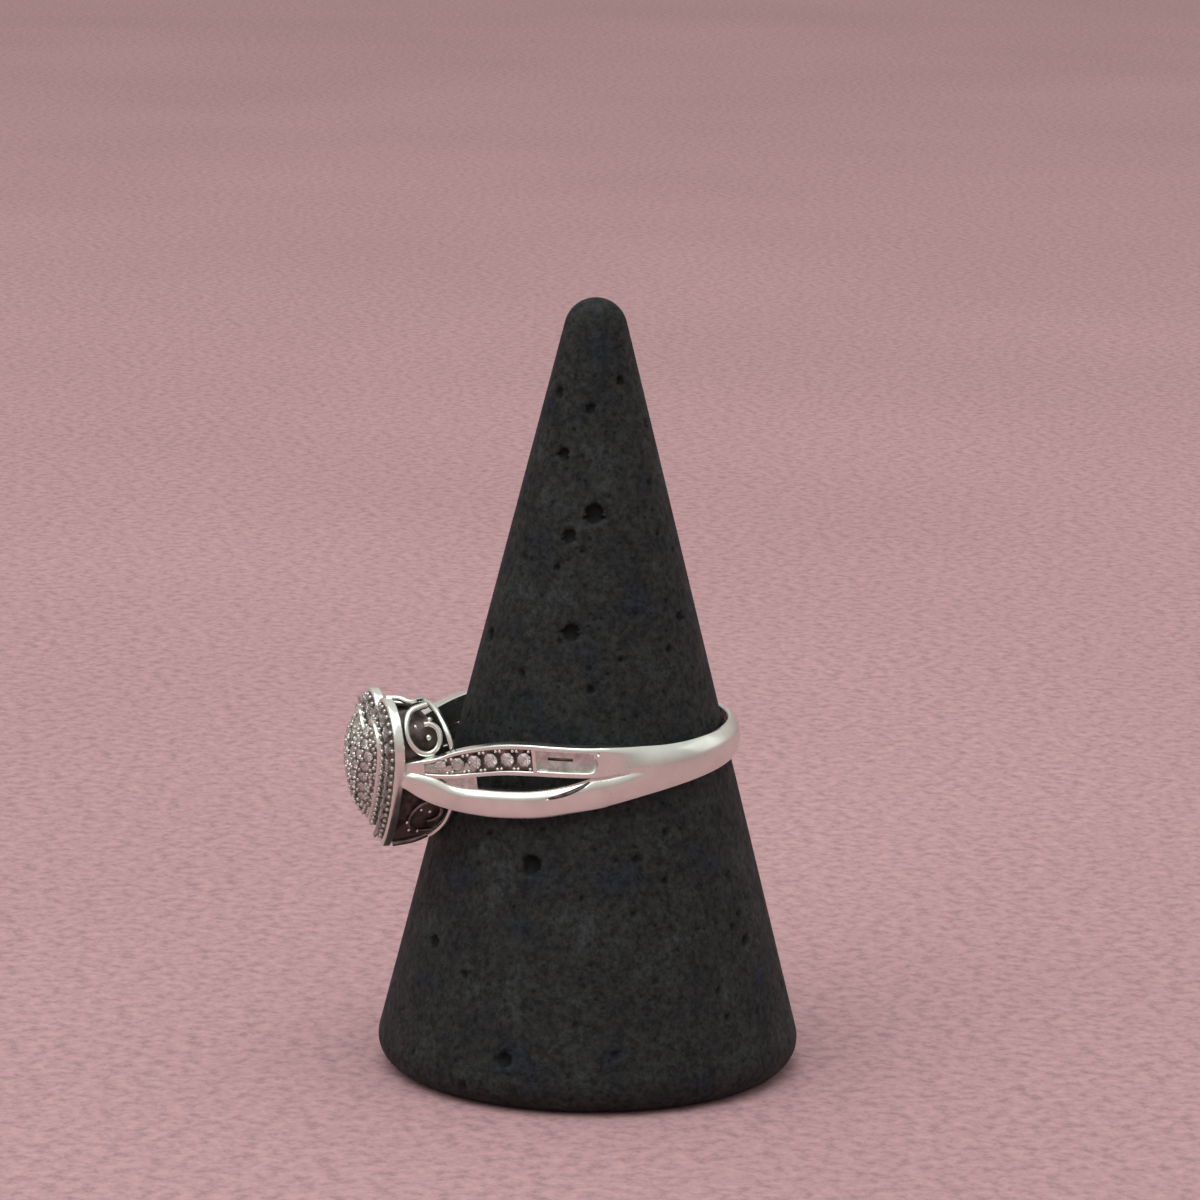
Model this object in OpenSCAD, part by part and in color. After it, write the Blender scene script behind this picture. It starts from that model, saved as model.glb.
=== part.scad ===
// Heart head promise ring standing on a lava stone cone. All lengths in millimetres.
// The origin is the middle of the cone's flat base. +Z runs up the cone's axis and the
// heart faces -Y. The ring is a bypass ring: half a turn about the line from the finger to
// the heart brings it back onto itself, so each side strand is drawn once and copied.

/* [Ring on the cone] */
// Height of the ring's middle above the table
ring_height = 20.05; // [20:0.05:20.6]
// Shift of the ring's middle from the cone's axis toward the heart
head_shift = 0.55; // [0.4:0.01:0.65]
// Angle by which the heart hangs lower than the back of the ring
head_droop = 6.75; // [5:0.05:8]

/* [Band] */
// Inside diameter of the band
finger_diameter = 17.7; // [17.6:0.02:17.76]
// Width of the band at the back
back_width = 2.0; // [1.6:0.1:2.6]
// Thickness of the band at the back
back_thickness = 0.7; // [0.6:0.05:0.95]
// Thickness of the strands where they leave the finger
side_thickness = 0.85; // [0.8:0.01:1]
// Fall of the band's outer face from its middle to its edges
face_dome = 0.28; // [0.15:0.01:0.4]

/* [Stone channel] */
// Width of the channel between its two rails
channel_width = 1.32; // [1.2:0.01:1.36]
// Depth of the channel below the rails
channel_depth = 0.38; // [0.25:0.01:0.5]
// Girdle diameter of the stones in the channel
channel_stone = 0.88; // [0.7:0.01:0.92]
// Depth of the girdles below the rails
channel_sink = 0.13; // [0.05:0.01:0.2]

/* [Heart head] */
// Width of the heart over its rim
heart_width = 8.8; // [8.6:0.05:9]
// Height of the lobes above the ring's middle plane
heart_top = 4.92; // [4.8:0.02:5.1]
// Reach of the heart's point below the ring's middle plane
heart_point = 4.49; // [4.3:0.02:4.7]
// Distance of each lobe's top from the heart's centre line
lobe_offset = 1.5; // [1.45:0.01:1.56]
// Radius of the lobes beside the cleft
cleft_radius = 1.62; // [1.6:0.01:1.7]
// Radius of the heart's flanks
flank_radius = 14; // [12:0.5:18]
// Lean of the heart's top toward the finger
heart_lean = 4.5; // [3:0.1:6]
// Distance of the rim's back edge from the ring's middle
rim_plane = 12.16; // [12.1:0.02:12.3]
// Height of the polished rim
rim_height = 0.6; // [0.5:0.02:0.75]
// Width of the rim's front edge
rim_width = 0.28; // [0.24:0.01:0.34]
// Width of the stone row between rim and ridge
halo_width = 0.92; // [0.88:0.01:1]
// Width of the polished ridge round the dome
ridge_width = 0.24; // [0.2:0.01:0.3]
// Height of the ridge above the rim's back edge
ridge_height = 1.38; // [1.2:0.02:1.5]
// Rise of the dome from its foot to its crown
dome_rise = 1.32; // [1.1:0.02:1.5]

/* [Heart stones] */
// Number of stones in the row round the heart
halo_count = 24; // [22:2:26]
// Girdle diameter of the stones round the heart
halo_stone = 0.84; // [0.7:0.01:0.88]
// Girdle diameter of the stones on the dome
dome_stone = 0.66; // [0.56:0.01:0.7]
// Distance between the dome's stones along a row
dome_pitch = 0.81; // [0.78:0.01:0.9]

/* [Gallery] */
// Thickness of the gallery wires
wire = 0.34; // [0.28:0.02:0.42]
// Inset of the finger rail from the heart's outline
rail_inset = 0.5; // [0.4:0.05:0.7]
// Distance of the finger rail from the ring's middle, at mid height
rail_near = 9.02; // [8.95:0.01:9.15]
// Distance by which the finger rail stands further out at the heart's lobes
rail_flare = 1.32; // [1.1:0.02:1.5]

/* [Cone stand] */
// Height of the cone
cone_height = 46.9; // [44:0.1:50]
// Greatest radius, just above the base
cone_foot = 12.77; // [12:0.01:14]
// Angle between the cone's side and its axis
cone_angle = 14.1; // [13.8:0.05:14.4]
// Radius of the rounding at the foot
foot_round = 1.7; // [0.8:0.1:2]
// Radius of the rounded tip
tip_round = 1.9; // [1.5:0.1:2.2]

/* [Hidden] */
finger_r = finger_diameter / 2;
sink_gap = 0.03;
ridge_out = rim_width + halo_width;
ridge_in = ridge_out + ridge_width;
dome_foot = ridge_height - 0.28;
dome_row = 0.28;

// Rise of the stone row from the rim to the ridge, and its stones' outward tilt
halo_slope = 0.7;
halo_tilt = 0.6;

// Runs of the strands, the web between them and the band's back, as angles from the heart
strand_run = [17.4, 92.5];
web_run = [20, 35];
back_run = [82, 278];

// Runs of the stone channel, of the empty recess behind it and of the slit in the recess
channel_run = [22.6, 57];
recess_run = [58.4, 76];
slit_run = [62, 71];
recess_width = channel_width - 0.12;
recess_r = 9.78;

// The points of the heart's stones stand just above the channel's floor and the dome
halo_floor = 0.44;
dome_drop = 0.42;

// Plain strand: angle from the heart, outer radius, height of the middle, width
PLAIN = [
    [17.0, 12.95, 0.50, 1.20],
    [18.8, 12.74, 0.38, 1.40],
    [21.0, 12.44, 0.18, 1.64],
    [24.4, 11.80, -0.24, 1.86],
    [29.4, 10.90, -0.92, 1.56],
    [37.5, 10.13, -1.28, 1.60],
    [47.7, 9.88, -1.38, 1.60],
    [58.0, 9.84, -1.35, 1.62],
    [68.0, 9.80, -1.17, 1.66],
    [74.0, 9.78, -1.03, 1.78],
    [78.0, 9.76, -0.93, 1.88],
    [85.0, 9.71, -0.88, 1.74],
    [93.0, 9.42, -0.74, 1.20],
];

// Stone strand: angle from the heart, outer radius, height of the middle, width
SET = [
    [17.0, 12.80, 1.00, 0.86],
    [18.8, 12.58, 1.00, 0.92],
    [21.5, 12.10, 1.02, 1.02],
    [25.5, 11.32, 1.00, 1.28],
    [29.2, 10.76, 1.10, 1.60],
    [35.0, 10.25, 1.24, 1.74],
    [44.9, 9.90, 1.41, 1.86],
    [55.4, 9.84, 1.39, 1.89],
    [65.0, 9.81, 1.21, 1.86],
    [79.5, 9.76, 0.91, 1.80],
    [85.0, 9.71, 0.86, 1.72],
    [93.0, 9.42, 0.74, 1.20],
];

// Back of the band: angle from the heart, outer radius, height of the middle, width
BACK = [
    [82, 9.74, 0.00, 3.56],
    [94, 9.66, -0.08, 3.02],
    [108, 9.60, -0.19, 2.56],
    [122, 9.56, -0.27, 2.32],
    [150, 9.55, -0.38, 2.06],
    [180, 9.55, -0.42, 2.00],
];

// Channel stones: angle from the heart, girdle diameter as a share, lift of the centre
CHANNEL = [
    [25.9, 0.82, 0.14],
    [30.3, 0.96, 0.02],
    [35.5, 1, 0],
    [41.4, 1, 0],
    [47.6, 1, 0],
    [53.9, 1, 0],
];

// Scroll of the gallery: distance from the ring's middle, height
SCROLL = [
    [10.05, 4.46],
    [10.67, 4.35],
    [11.19, 4.04],
    [11.52, 3.51],
    [11.58, 2.85],
    [11.32, 2.16],
    [10.75, 1.79],
    [10.13, 1.90],
    [9.70, 2.42],
    [9.64, 2.99],
    [9.93, 3.37],
    [10.38, 3.45],
];

heart_mid = [0, 0.3];
POLAR = [for (p = heart_half(ridge_in, 6, 24, 20)) polar(p)];
FOOT = heart(ridge_in, 6, 24, 20);
DOME_SPOTS = [for (j = [-5:6]) for (i = [-5:5]) dome_spot(i, j)];
DOME_STONES = [for (p = DOME_SPOTS) if (room(p) > dome_stone / 2 + 0.05) p];
HALO_SPOTS = along(heart(rim_width + halo_width / 2 + 0.01, 16, 60, 44), halo_count);

// Value between the rows of a table, drawn smoothly through them
function smooth(t, a, c) =
    let(
        n = len(t),
        k = max([0, for (i = [0:n - 2]) if (t[i][0] <= a) i]),
        p = t[k],
        q = t[k + 1],
        o = t[max(k - 1, 0)],
        r = t[min(k + 2, n - 1)],
        h = q[0] - p[0],
        u = min(max((a - p[0]) / h, 0), 1),
        mp = k == 0 ? (q[c] - p[c]) / h : (q[c] - o[c]) / (q[0] - o[0]),
        mq = k == n - 2 ? (q[c] - p[c]) / h : (r[c] - p[c]) / (r[0] - p[0])
    )
    p[c] * (2 * pow(u, 3) - 3 * u * u + 1) + mp * h * (pow(u, 3) - 2 * u * u + u)
    + q[c] * (3 * u * u - 2 * pow(u, 3)) + mq * h * (pow(u, 3) - u * u);

function unit(v) = v / norm(v);
function total(v) = [for (x = v) 1] * v;

// Points n + 1 in number, evenly spread over an angle range
function sweep_angles(a, b, n) = [for (i = [0:n]) a + (b - a) * i / n];

// Point on a strand's outer face and the face's outward direction, in the ring's plane
function face_at(t, a) =
    let(r = smooth(t, a, 1))
    [r * cos(a), r * sin(a)];
function outward(t, a) =
    let(d = unit(face_at(t, a + 0.4) - face_at(t, a - 0.4)))
    [d[1], -d[0]];

// Section of a strand: depth below the outer face and height from its middle
function section(w, t, fall) = [
    [-fall, w / 2],
    [-0.42 * fall, 0.43 * w],
    [-0.08 * fall, 0.24 * w],
    [-0.08 * fall, -0.24 * w],
    [-0.42 * fall, -0.43 * w],
    [-fall, -w / 2],
    [-t + 0.1, -w / 2],
    [-t, -w / 2 + 0.1],
    [-t, w / 2 - 0.1],
    [-t + 0.1, w / 2],
];

// Section set at a place on a strand
function placed(t, a, s, z) =
    let(
        p = face_at(t, a),
        n = outward(t, a)
    )
    [for (q = s) [p[0] + n[0] * q[0], p[1] + n[1] * q[0], z + q[1]]];

// Half of the heart's outline, moved inward by d: cleft, lobe, flank and point
function heart_half(d, nc, nl, nf) =
    let(
        w = lobe_offset,
        rl = heart_width / 2 - w,
        v = heart_top - rl,
        vi = heart_top - cleft_radius,
        cleft = vi + sqrt(pow(cleft_radius, 2) - w * w),
        c = [w, v],
        e = [0, -heart_point] - c,
        l = norm(e),
        f = flank_radius - rl,
        m = (f * f - pow(flank_radius, 2) + l * l) / (2 * l),
        g = sqrt(f * f - m * m),
        u = e / l,
        k = c + m * u + g * [u[1], -u[0]],
        s0 = atan2(cleft - vi, -w),
        s1 = atan2(c[1] - k[1], c[0] - k[0]),
        ri = flank_radius - d,
        s2 = -acos(-k[0] / ri),
        i0 = atan2(vi - cleft, w),
        na = round(nl / 3)
    )
    concat(
        [for (i = [0:nc - 1]) let(a = -90 + (i0 + 90) * i / nc) [d * cos(a), cleft + d * sin(a)]],
        [for (i = [0:na - 1])
            let(a = s0 + (90 - s0) * i / na)
            [w, vi] + (cleft_radius - d) * [cos(a), sin(a)]],
        [for (i = [0:nl - na - 1])
            let(a = 90 + (s1 - 90) * i / (nl - na))
            c + (rl - d) * [cos(a), sin(a)]],
        [for (i = [0:nf]) let(a = s1 + (s2 - s1) * i / nf) k + ri * [cos(a), sin(a)]]
    );
function heart(d, nc = 3, nl = 13, nf = 8) =
    let(
        h = heart_half(d, nc, nl, nf),
        n = len(h)
    )
    concat(h, [for (i = [n - 2:-1:1]) [-h[i][0], h[i][1]]]);

// Share of the way from the heart's middle to the foot of the dome
function polar(p) = [atan2(p[0], p[1] - heart_mid[1]), norm(p - heart_mid)];
function gauge(p) =
    let(q = polar([abs(p[0]), p[1]]))
    q[1] / lookup(q[0], POLAR);

// Room between a place on the dome and the ridge
function room(p) = gauge(p) > 1 ? -1 : min([for (q = FOOT) norm(p - q)]);

// Height of the dome's face above its foot
function dome_height(p) = dome_rise * pow(max(1 - pow(gauge(p), 2), 0.0001), 0.62);
function dome_slope(p) = [
    (dome_height(p + [0.15, 0]) - dome_height(p - [0.15, 0])) / 0.3,
    (dome_height(p + [0, 0.15]) - dome_height(p - [0, 0.15])) / 0.3,
];
function dome_spot(i, j) =
    [(i + (abs(j) % 2) / 2) * dome_pitch, dome_row + j * dome_pitch * 0.86];

// Places evenly spread along a closed outline, starting at its cleft
function along(o, n) =
    let(
        m = len(o),
        s = [for (i = 0, a = 0; i <= m; a = a + norm(o[(i + 1) % m] - o[i % m]), i = i + 1) a],
        step = s[m] / n
    )
    [for (k = [0:n - 1])
        let(
            a = k * step,
            i = max([for (j = [0:m - 1]) if (s[j] <= a) j]),
            u = (a - s[i]) / (s[i + 1] - s[i]),
            p = o[i],
            q = o[(i + 1) % m],
            d = unit(q - p)
        )
        [p[0] + (q[0] - p[0]) * u, p[1] + (q[1] - p[1]) * u, d[1], -d[0]]];

// Ring of points at a distance x from the ring's middle
function level(o, x) = [for (p = o) [x, p[0], p[1]]];
function shrunk(o, k) = [for (p = o) heart_mid + k * (p - heart_mid)];

// Half width of the gallery at a height
FLANK = [for (i = [12:48]) heart_half(rail_inset, 4, 24, 20)[i]];
function flank_at(z) = lookup(-z, [for (p = FLANK) [-p[1], p[0]]]);
function rail_x(z) = rail_near + rail_flare * pow(abs(z) / 4.6, 2);

// Closed skin over rings of points that all have the same count
module skin(rings, loop = false) {
    n = len(rings[0]);
    m = len(rings);
    pts = [for (r = rings) for (p = r) p];
    last = loop ? m - 1 : m - 2;
    sides = [for (i = [0:last]) for (j = [0:n - 1])
        let(
            a = i * n + j,
            b = i * n + (j + 1) % n,
            c = ((i + 1) % m) * n + j,
            d = ((i + 1) % m) * n + (j + 1) % n
        )
        each [[a, b, c], [b, d, c]]];
    caps = loop ? [] : [[for (j = [n - 1:-1:0]) j], [for (j = [0:n - 1]) (m - 1) * n + j]];
    mid = total(pts) / len(pts);
    turn = total([for (f = sides) (pts[f[0]] - mid) * cross(pts[f[1]] - mid, pts[f[2]] - mid)]);
    faces = concat(sides, caps);
    polyhedron(
        points = pts,
        faces = turn < 0 ? faces : [for (f = faces) [for (k = [len(f) - 1:-1:0]) f[k]]],
        convexity = 8
    );
}

// Six-sided wire along points, thick across the reference direction
module wire_along(pts, ref, w, h, loop = false) {
    m = len(pts);
    rings = [for (i = [0:m - 1])
        let(
            a = loop ? pts[(i + m - 1) % m] : pts[max(i - 1, 0)],
            b = loop ? pts[(i + 1) % m] : pts[min(i + 1, m - 1)],
            t = unit(b - a),
            u = unit(cross(t, ref)),
            v = cross(u, t)
        )
        [for (q = [[1, 0], [0.6, 1], [-0.6, 1], [-1, 0], [-0.6, -1], [0.6, -1]])
            pts[i] + u * q[0] * w / 2 + v * q[1] * h / 2]];
    skin(rings, loop);
}

// Eight-sided stone with its girdle at the origin and its table up
module brilliant(d) {
    r = d / 2;
    table = [for (i = [0:7]) [0.58 * r * cos(45 * i), 0.58 * r * sin(45 * i), 0.17 * d]];
    upper = [for (i = [0:7]) [r * cos(45 * i + 22.5), r * sin(45 * i + 22.5), 0.025 * d]];
    lower = [for (i = [0:7]) [r * cos(45 * i + 22.5), r * sin(45 * i + 22.5), -0.025 * d]];
    faces = concat(
        [[for (i = [7:-1:0]) i]],
        [for (i = [0:7]) each [[i, (i + 1) % 8, 8 + i], [8 + i, (i + 1) % 8, 8 + (i + 1) % 8]]],
        [for (i = [0:7]) [8 + i, 8 + (i + 1) % 8, 16 + (i + 1) % 8, 16 + i]],
        [for (i = [0:7]) [16 + i, 16 + (i + 1) % 8, 24]]
    );
    polyhedron(points = concat(table, upper, lower, [[0, 0, -0.43 * d]]), faces = faces);
}

// Seat for a stone, open upward and a little larger than the stone
module seat(d, open) {
    g = d + 2 * sink_gap;
    hull() {
        rotate([0, 0, 22.5])
            translate([0, 0, -0.025 * d - sink_gap / 2])
                cylinder(d = g, h = open, $fn = 8);
        translate([0, 0, -0.43 * d - 1.6 * sink_gap])
            cylinder(d = 0.05, h = 0.02, $fn = 3);
    }
}

module on_head() {
    translate([rim_plane, 0, 0])
        rotate([0, -heart_lean, 0])
            children();
}

// Brings a stone to a place, table toward the direction given
module facing(p, n) {
    translate(p)
        rotate([0, acos(n[2] / norm(n)), atan2(n[1], n[0])])
            children();
}

module on_cone() {
    translate([0, -head_shift, ring_height])
        rotate([head_droop, 0, 0])
            rotate([0, 0, -90])
                children();
}

// The same thing half a turn round the line from finger to heart
module both_ways() {
    children();
    rotate([180, 0, 0])
        children();
}

module channel_place(i) {
    a = CHANNEL[i][0];
    p = face_at(SET, a);
    n = outward(SET, a);
    facing(
        [p[0] - n[0] * channel_sink, p[1] - n[1] * channel_sink, smooth(SET, a, 2) + CHANNEL[i][2]],
        [n[0], n[1], 0]
    )
        children();
}

module halo_place(i) {
    s = HALO_SPOTS[i];
    n = unit([1, halo_tilt * s[2], halo_tilt * s[3]]);
    on_head()
        facing([halo_face(rim_width + halo_width / 2) + 0.01, s[0], s[1]], n)
            children();
}
function halo_face(d) = rim_height - 0.1 + halo_slope * (d - rim_width);

module dome_place(p) {
    g = dome_slope(p);
    on_head()
        facing([dome_foot + dome_height(p) + 0.01, p[0], p[1]], unit([1, -g[0], -g[1]]))
            children();
}

module plain_strand() {
    skin([for (a = sweep_angles(strand_run[0], strand_run[1], 20))
        placed(PLAIN, a, section(smooth(PLAIN, a, 3), side_thickness, face_dome), smooth(PLAIN, a, 2))]);
}

module stone_strand() {
    difference() {
        skin([for (a = sweep_angles(strand_run[0], strand_run[1], 20))
            placed(SET, a, section(smooth(SET, a, 3), side_thickness, 0.1), smooth(SET, a, 2))]);
        channel_cut(sweep_angles(channel_run[0], channel_run[1], 11), channel_width);
        channel_cut(sweep_angles(recess_run[0], recess_run[1], 5), recess_width, recess_run[1]);
        slit();
    }
}

// Cutter for a channel with a flat end, or with a round end beyond the angle round_from
module channel_cut(angles, w, round_from = 0) {
    turn = w / 2 / recess_r * 180 / PI;
    tail = round_from == 0 ? [] : [for (f = [0.4, 0.72, 0.95]) round_from + turn * f];
    skin([for (t = concat(angles, tail))
        let(
            f = t > round_from ? (t - round_from) / turn : 0,
            k = round_from == 0 ? 1 : sqrt(1 - f * f)
        )
        placed(SET, t, channel_section(min(w, smooth(SET, t, 3) - 0.5) * k), smooth(SET, t, 2))]);
}
function channel_section(w) = [
    [0.4, w / 2],
    [0.4, -w / 2],
    [-channel_depth, -w / 2],
    [-channel_depth, w / 2],
];

module slit() {
    skin([for (t = sweep_angles(slit_run[0], slit_run[1], 4))
        placed(SET, t, [[0.4, 0.1], [0.4, -0.1], [-0.62, -0.1], [-0.62, 0.1]], smooth(SET, t, 2) + 0.1)]);
}

// Web that joins the two strands beside the head
module strand_web() {
    skin([for (a = sweep_angles(web_run[0], web_run[1], 5))
        let(
            lo = smooth(PLAIN, a, 2),
            hi = smooth(SET, a, 2)
        )
        placed(SET, a, [[-0.3, hi], [-0.3, lo], [-0.78, lo], [-0.78, hi]], 0)]);
}

module back_band() {
    skin([for (a = sweep_angles(back_run[0], back_run[1], 32))
        let(
            b = a > 180 ? 360 - a : a,
            w = smooth(BACK, b, 3) * (b > 125 ? back_width / 2 : 1),
            r = b > 160 ? finger_r + back_thickness : smooth(BACK, b, 1)
        )
        [for (q = section(w, r - finger_r + 0.15, face_dome * 0.8))
            [(r + q[0]) * cos(a), (r + q[0]) * sin(a), q[1] + smooth(BACK, b, 2)]]]);
}

module head_body() {
    skin([
        level(heart(0.06), 0),
        level(heart(0), 0.06),
        level(heart(0), rim_height - 0.07),
        level(heart(0.07), rim_height),
        level(heart(rim_width), rim_height),
        level(heart(rim_width), halo_floor),
        level(heart(ridge_out), halo_floor),
        level(heart(ridge_out), ridge_height - 0.07),
        level(heart(ridge_out + 0.06), ridge_height),
        level(heart(ridge_in - 0.05), ridge_height),
        level(heart(ridge_in), ridge_height - 0.06),
        level(heart(ridge_in), dome_foot - dome_drop),
        for (k = [0.96, 0.88, 0.74, 0.56, 0.32, 0.06])
            level(shrunk(heart(ridge_in), k), dome_foot - dome_drop + dome_rise * pow(1 - k * k, 0.62)),
    ]);
}

module head_hollow() {
    skin([
        level(heart(ridge_in - 0.1, 2, 8, 5), -0.5),
        level(heart(ridge_in - 0.1, 2, 8, 5), 0.1),
        for (k = [0.92, 0.7, 0.35])
            level(shrunk(heart(ridge_in, 2, 8, 5), k), 0.1 + 1.35 * pow(1 - k * k, 0.62)),
    ]);
}

module finger_rail() {
    o = heart(rail_inset, 3, 12, 7);
    wire_along([for (p = o) [rail_x(p[1]), p[0], p[1]]], [1, 0, 0], wire, wire * 1.3, true);
}

// Scroll in the gallery wall beside a lobe, flipped for the wall beside the point
module scroll(up) {
    f = up ? 1 : -0.86;
    wire_along(
        [for (p = SCROLL) [p[0], flank_at(f * p[1]), f * p[1]]],
        [0, 1, 0], wire * 0.8, wire * 0.9
    );
}

// Posts from the finger rail out to the rim
module posts() {
    for (s = [-1, 1])
        post([s * lobe_offset, heart_top - rail_inset], 1.2);
    post([0, -heart_point + rail_inset * 1.3], 1.4);
    post([0, 3.25], 1.2);
}
module post(p, k) {
    x0 = rail_x(p[1]) - 0.05;
    x1 = rim_plane + 0.25 - p[1] * tan(heart_lean);
    wire_along(
        [[x0, p[0], p[1]], [(x0 + x1) / 2, p[0], p[1] + 0.1], [x1, p[0], p[1] + 0.2 * sign(p[1])]],
        [0, 1, 0], wire, wire * k
    );
}

module ring_mounting() {
    color([0.82, 0.82, 0.84])
        on_cone()
            difference() {
                union() {
                    both_ways() {
                        plain_strand();
                        stone_strand();
                        strand_web();
                    }
                    scroll(true);
                    scroll(false);
                    mirror([0, 1, 0]) {
                        scroll(true);
                        scroll(false);
                    }
                    back_band();
                    on_head()
                        difference() {
                            head_body();
                            head_hollow();
                        }
                    finger_rail();
                    posts();
                }
                cylinder(r = finger_r, h = 20, center = true, $fn = 80);
                both_ways()
                    for (i = [0:5])
                        channel_place(i)
                            seat(channel_stone * CHANNEL[i][1], 0.4);
            }
}

module near_stone(i) {
    color([0.9, 0.95, 1])
        on_cone()
            channel_place(i)
                brilliant(channel_stone * CHANNEL[i][1]);
}

module far_stone(i) {
    color([0.9, 0.95, 1])
        on_cone()
            rotate([180, 0, 0])
                channel_place(i)
                    brilliant(channel_stone * CHANNEL[i][1]);
}

module halo_stone_at(i) {
    color([0.9, 0.95, 1])
        on_cone()
            halo_place(i)
                brilliant(halo_stone);
}

module dome_stones() {
    color([0.9, 0.95, 1])
        on_cone()
            for (p = DOME_STONES)
                dome_place(p)
                    brilliant(dome_stone);
}

module cone_stand() {
    lean = tan(cone_angle);
    foot = [for (a = concat([for (k = [-90:15:0]) k], cone_angle))
        [cone_foot - foot_round + foot_round * cos(a), foot_round + foot_round * sin(a)]];
    tip_z = cone_height - tip_round;
    tip = [for (a = [cone_angle:12.65:90]) [tip_round * cos(a), tip_z + tip_round * sin(a)]];
    color([0.16, 0.16, 0.17])
        rotate_extrude($fn = 96)
            polygon(concat([[0, 0]], foot, tip, [[0, cone_height]]));
}

cone_stand();
ring_mounting();
dome_stones();
for (i = [1:6]) {
    near_stone(i - 1);
    far_stone(i - 1);
}
for (i = [1:halo_count])
    halo_stone_at(i - 1);
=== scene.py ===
"""Heart headed promise ring hung on a lava stone cone, with its floor, lights and camera."""

import math
import random

import bpy
import numpy as np
from mathutils import Matrix, Vector


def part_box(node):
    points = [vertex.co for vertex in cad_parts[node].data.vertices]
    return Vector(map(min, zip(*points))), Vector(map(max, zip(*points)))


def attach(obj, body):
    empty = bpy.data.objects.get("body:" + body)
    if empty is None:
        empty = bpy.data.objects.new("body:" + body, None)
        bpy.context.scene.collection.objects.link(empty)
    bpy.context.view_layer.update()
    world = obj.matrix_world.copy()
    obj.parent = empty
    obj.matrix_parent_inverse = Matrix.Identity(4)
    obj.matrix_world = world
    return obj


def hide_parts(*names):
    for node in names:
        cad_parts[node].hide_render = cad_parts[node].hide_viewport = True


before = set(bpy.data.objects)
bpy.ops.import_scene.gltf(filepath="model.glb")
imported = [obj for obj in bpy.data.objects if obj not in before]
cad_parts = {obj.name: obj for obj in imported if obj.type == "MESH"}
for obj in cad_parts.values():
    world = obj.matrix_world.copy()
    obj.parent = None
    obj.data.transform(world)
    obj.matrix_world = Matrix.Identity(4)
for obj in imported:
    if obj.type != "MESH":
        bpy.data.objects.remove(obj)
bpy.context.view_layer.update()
CONE_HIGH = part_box("cone_stand")[1]

bl_info = {
    "name": "Heart promise ring on a cone",
    "version": (1, 0, 0),
    "blender": (4, 5, 0),
    "location": "View3D > Sidebar > Promise ring",
    "description": "Heart headed bypass ring, the settings of its stones and the cone it hangs on",
    "category": "Add Mesh",
}

MM = 0.001

# Plain strand: angle from the heart in degrees, outer radius, height of the middle, width, in mm
PLAIN = [
    (17.0, 12.95, 0.50, 1.20),
    (18.8, 12.74, 0.38, 1.40),
    (21.0, 12.44, 0.18, 1.64),
    (24.4, 11.80, -0.24, 1.86),
    (29.4, 10.90, -0.92, 1.56),
    (37.5, 10.13, -1.28, 1.60),
    (47.7, 9.88, -1.38, 1.60),
    (58.0, 9.84, -1.35, 1.62),
    (68.0, 9.80, -1.17, 1.66),
    (74.0, 9.78, -1.03, 1.78),
    (78.0, 9.76, -0.93, 1.88),
    (88.0, 9.70, -0.86, 1.72),
]

# Stone strand, in the same columns
SET = [
    (17.0, 12.80, 1.00, 0.86),
    (18.8, 12.58, 1.00, 0.92),
    (21.5, 12.10, 1.02, 1.02),
    (25.5, 11.32, 1.00, 1.28),
    (29.2, 10.76, 1.10, 1.60),
    (35.0, 10.25, 1.24, 1.74),
    (44.9, 9.90, 1.41, 1.86),
    (55.4, 9.84, 1.39, 1.89),
    (65.0, 9.81, 1.21, 1.86),
    (79.5, 9.76, 0.91, 1.80),
    (88.0, 9.70, 0.86, 1.72),
]

# Back of the band: angle, outer radius, height of the middle, width
BACK = [
    (79.0, 9.76, -0.01, 3.68),
    (84.0, 9.72, -0.02, 3.46),
    (94.0, 9.66, -0.08, 3.02),
    (108.0, 9.60, -0.19, 2.56),
    (122.0, 9.56, -0.27, 2.32),
    (150.0, 9.55, -0.38, 2.06),
    (180.0, 9.55, -0.42, 2.00),
]

# Channel stones: angle, girdle diameter as a share, lift of the centre
CHANNEL = [
    (25.9, 0.82, 0.14),
    (30.3, 0.96, 0.02),
    (35.5, 1.0, 0.0),
    (41.4, 1.0, 0.0),
    (47.6, 1.0, 0.0),
    (53.9, 1.0, 0.0),
]
CHANNEL_STONE = 0.88
CHANNEL_SINK = 0.13
CHANNEL_SPAN = (22.6, 57.0)
RECESS_SPAN = (58.4, 76.0)
SLIT_SPAN = (62.0, 71.0)
BAND_START = 80.5
STRAND_END = 81.5
BAND_WHOLE = 100.0

# Spacing of the sections along the strands, in degrees, and the extra ones at the plain tips
STEP = 0.75
NOSE_ANGLES = (17.5, 17.7, 18.0, 18.4, 18.8)

# Web between the strands: span in degrees, its far end on the far side, depths of its front and
# back, lift of its middle, and the rate and length of its rounded end
WEB_SPAN = (18.5, 35.2)
FAR_WEB_END = 50.0
WEB_DEPTHS = (0.26, 0.74)
WEB_CROWN = 0.04
WEB_TAIL = (0.1, 1.2)

# Channel: lip's depth and width, width of both rails together, depths of the hollow floor and the
# slit, margin of the recess, and the extra sections at its ends and along the recess's round tail
LIP = (0.03, 0.035)
RAILS = 0.5
HOLLOW = 0.10
SLIT_DEPTH = 0.2
RECESS_MARGIN = 0.06
CHANNEL_STEPS = [22.52, 22.6, 56.9, 57.0, 57.08, 58.32, 58.4, 61.95, 62.0, 71.0, 71.05]
RECESS_STEPS = (0.2, 0.4, 0.55, 0.7, 0.8, 0.88, 0.94, 0.98, 0.999, 1.02)

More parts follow.
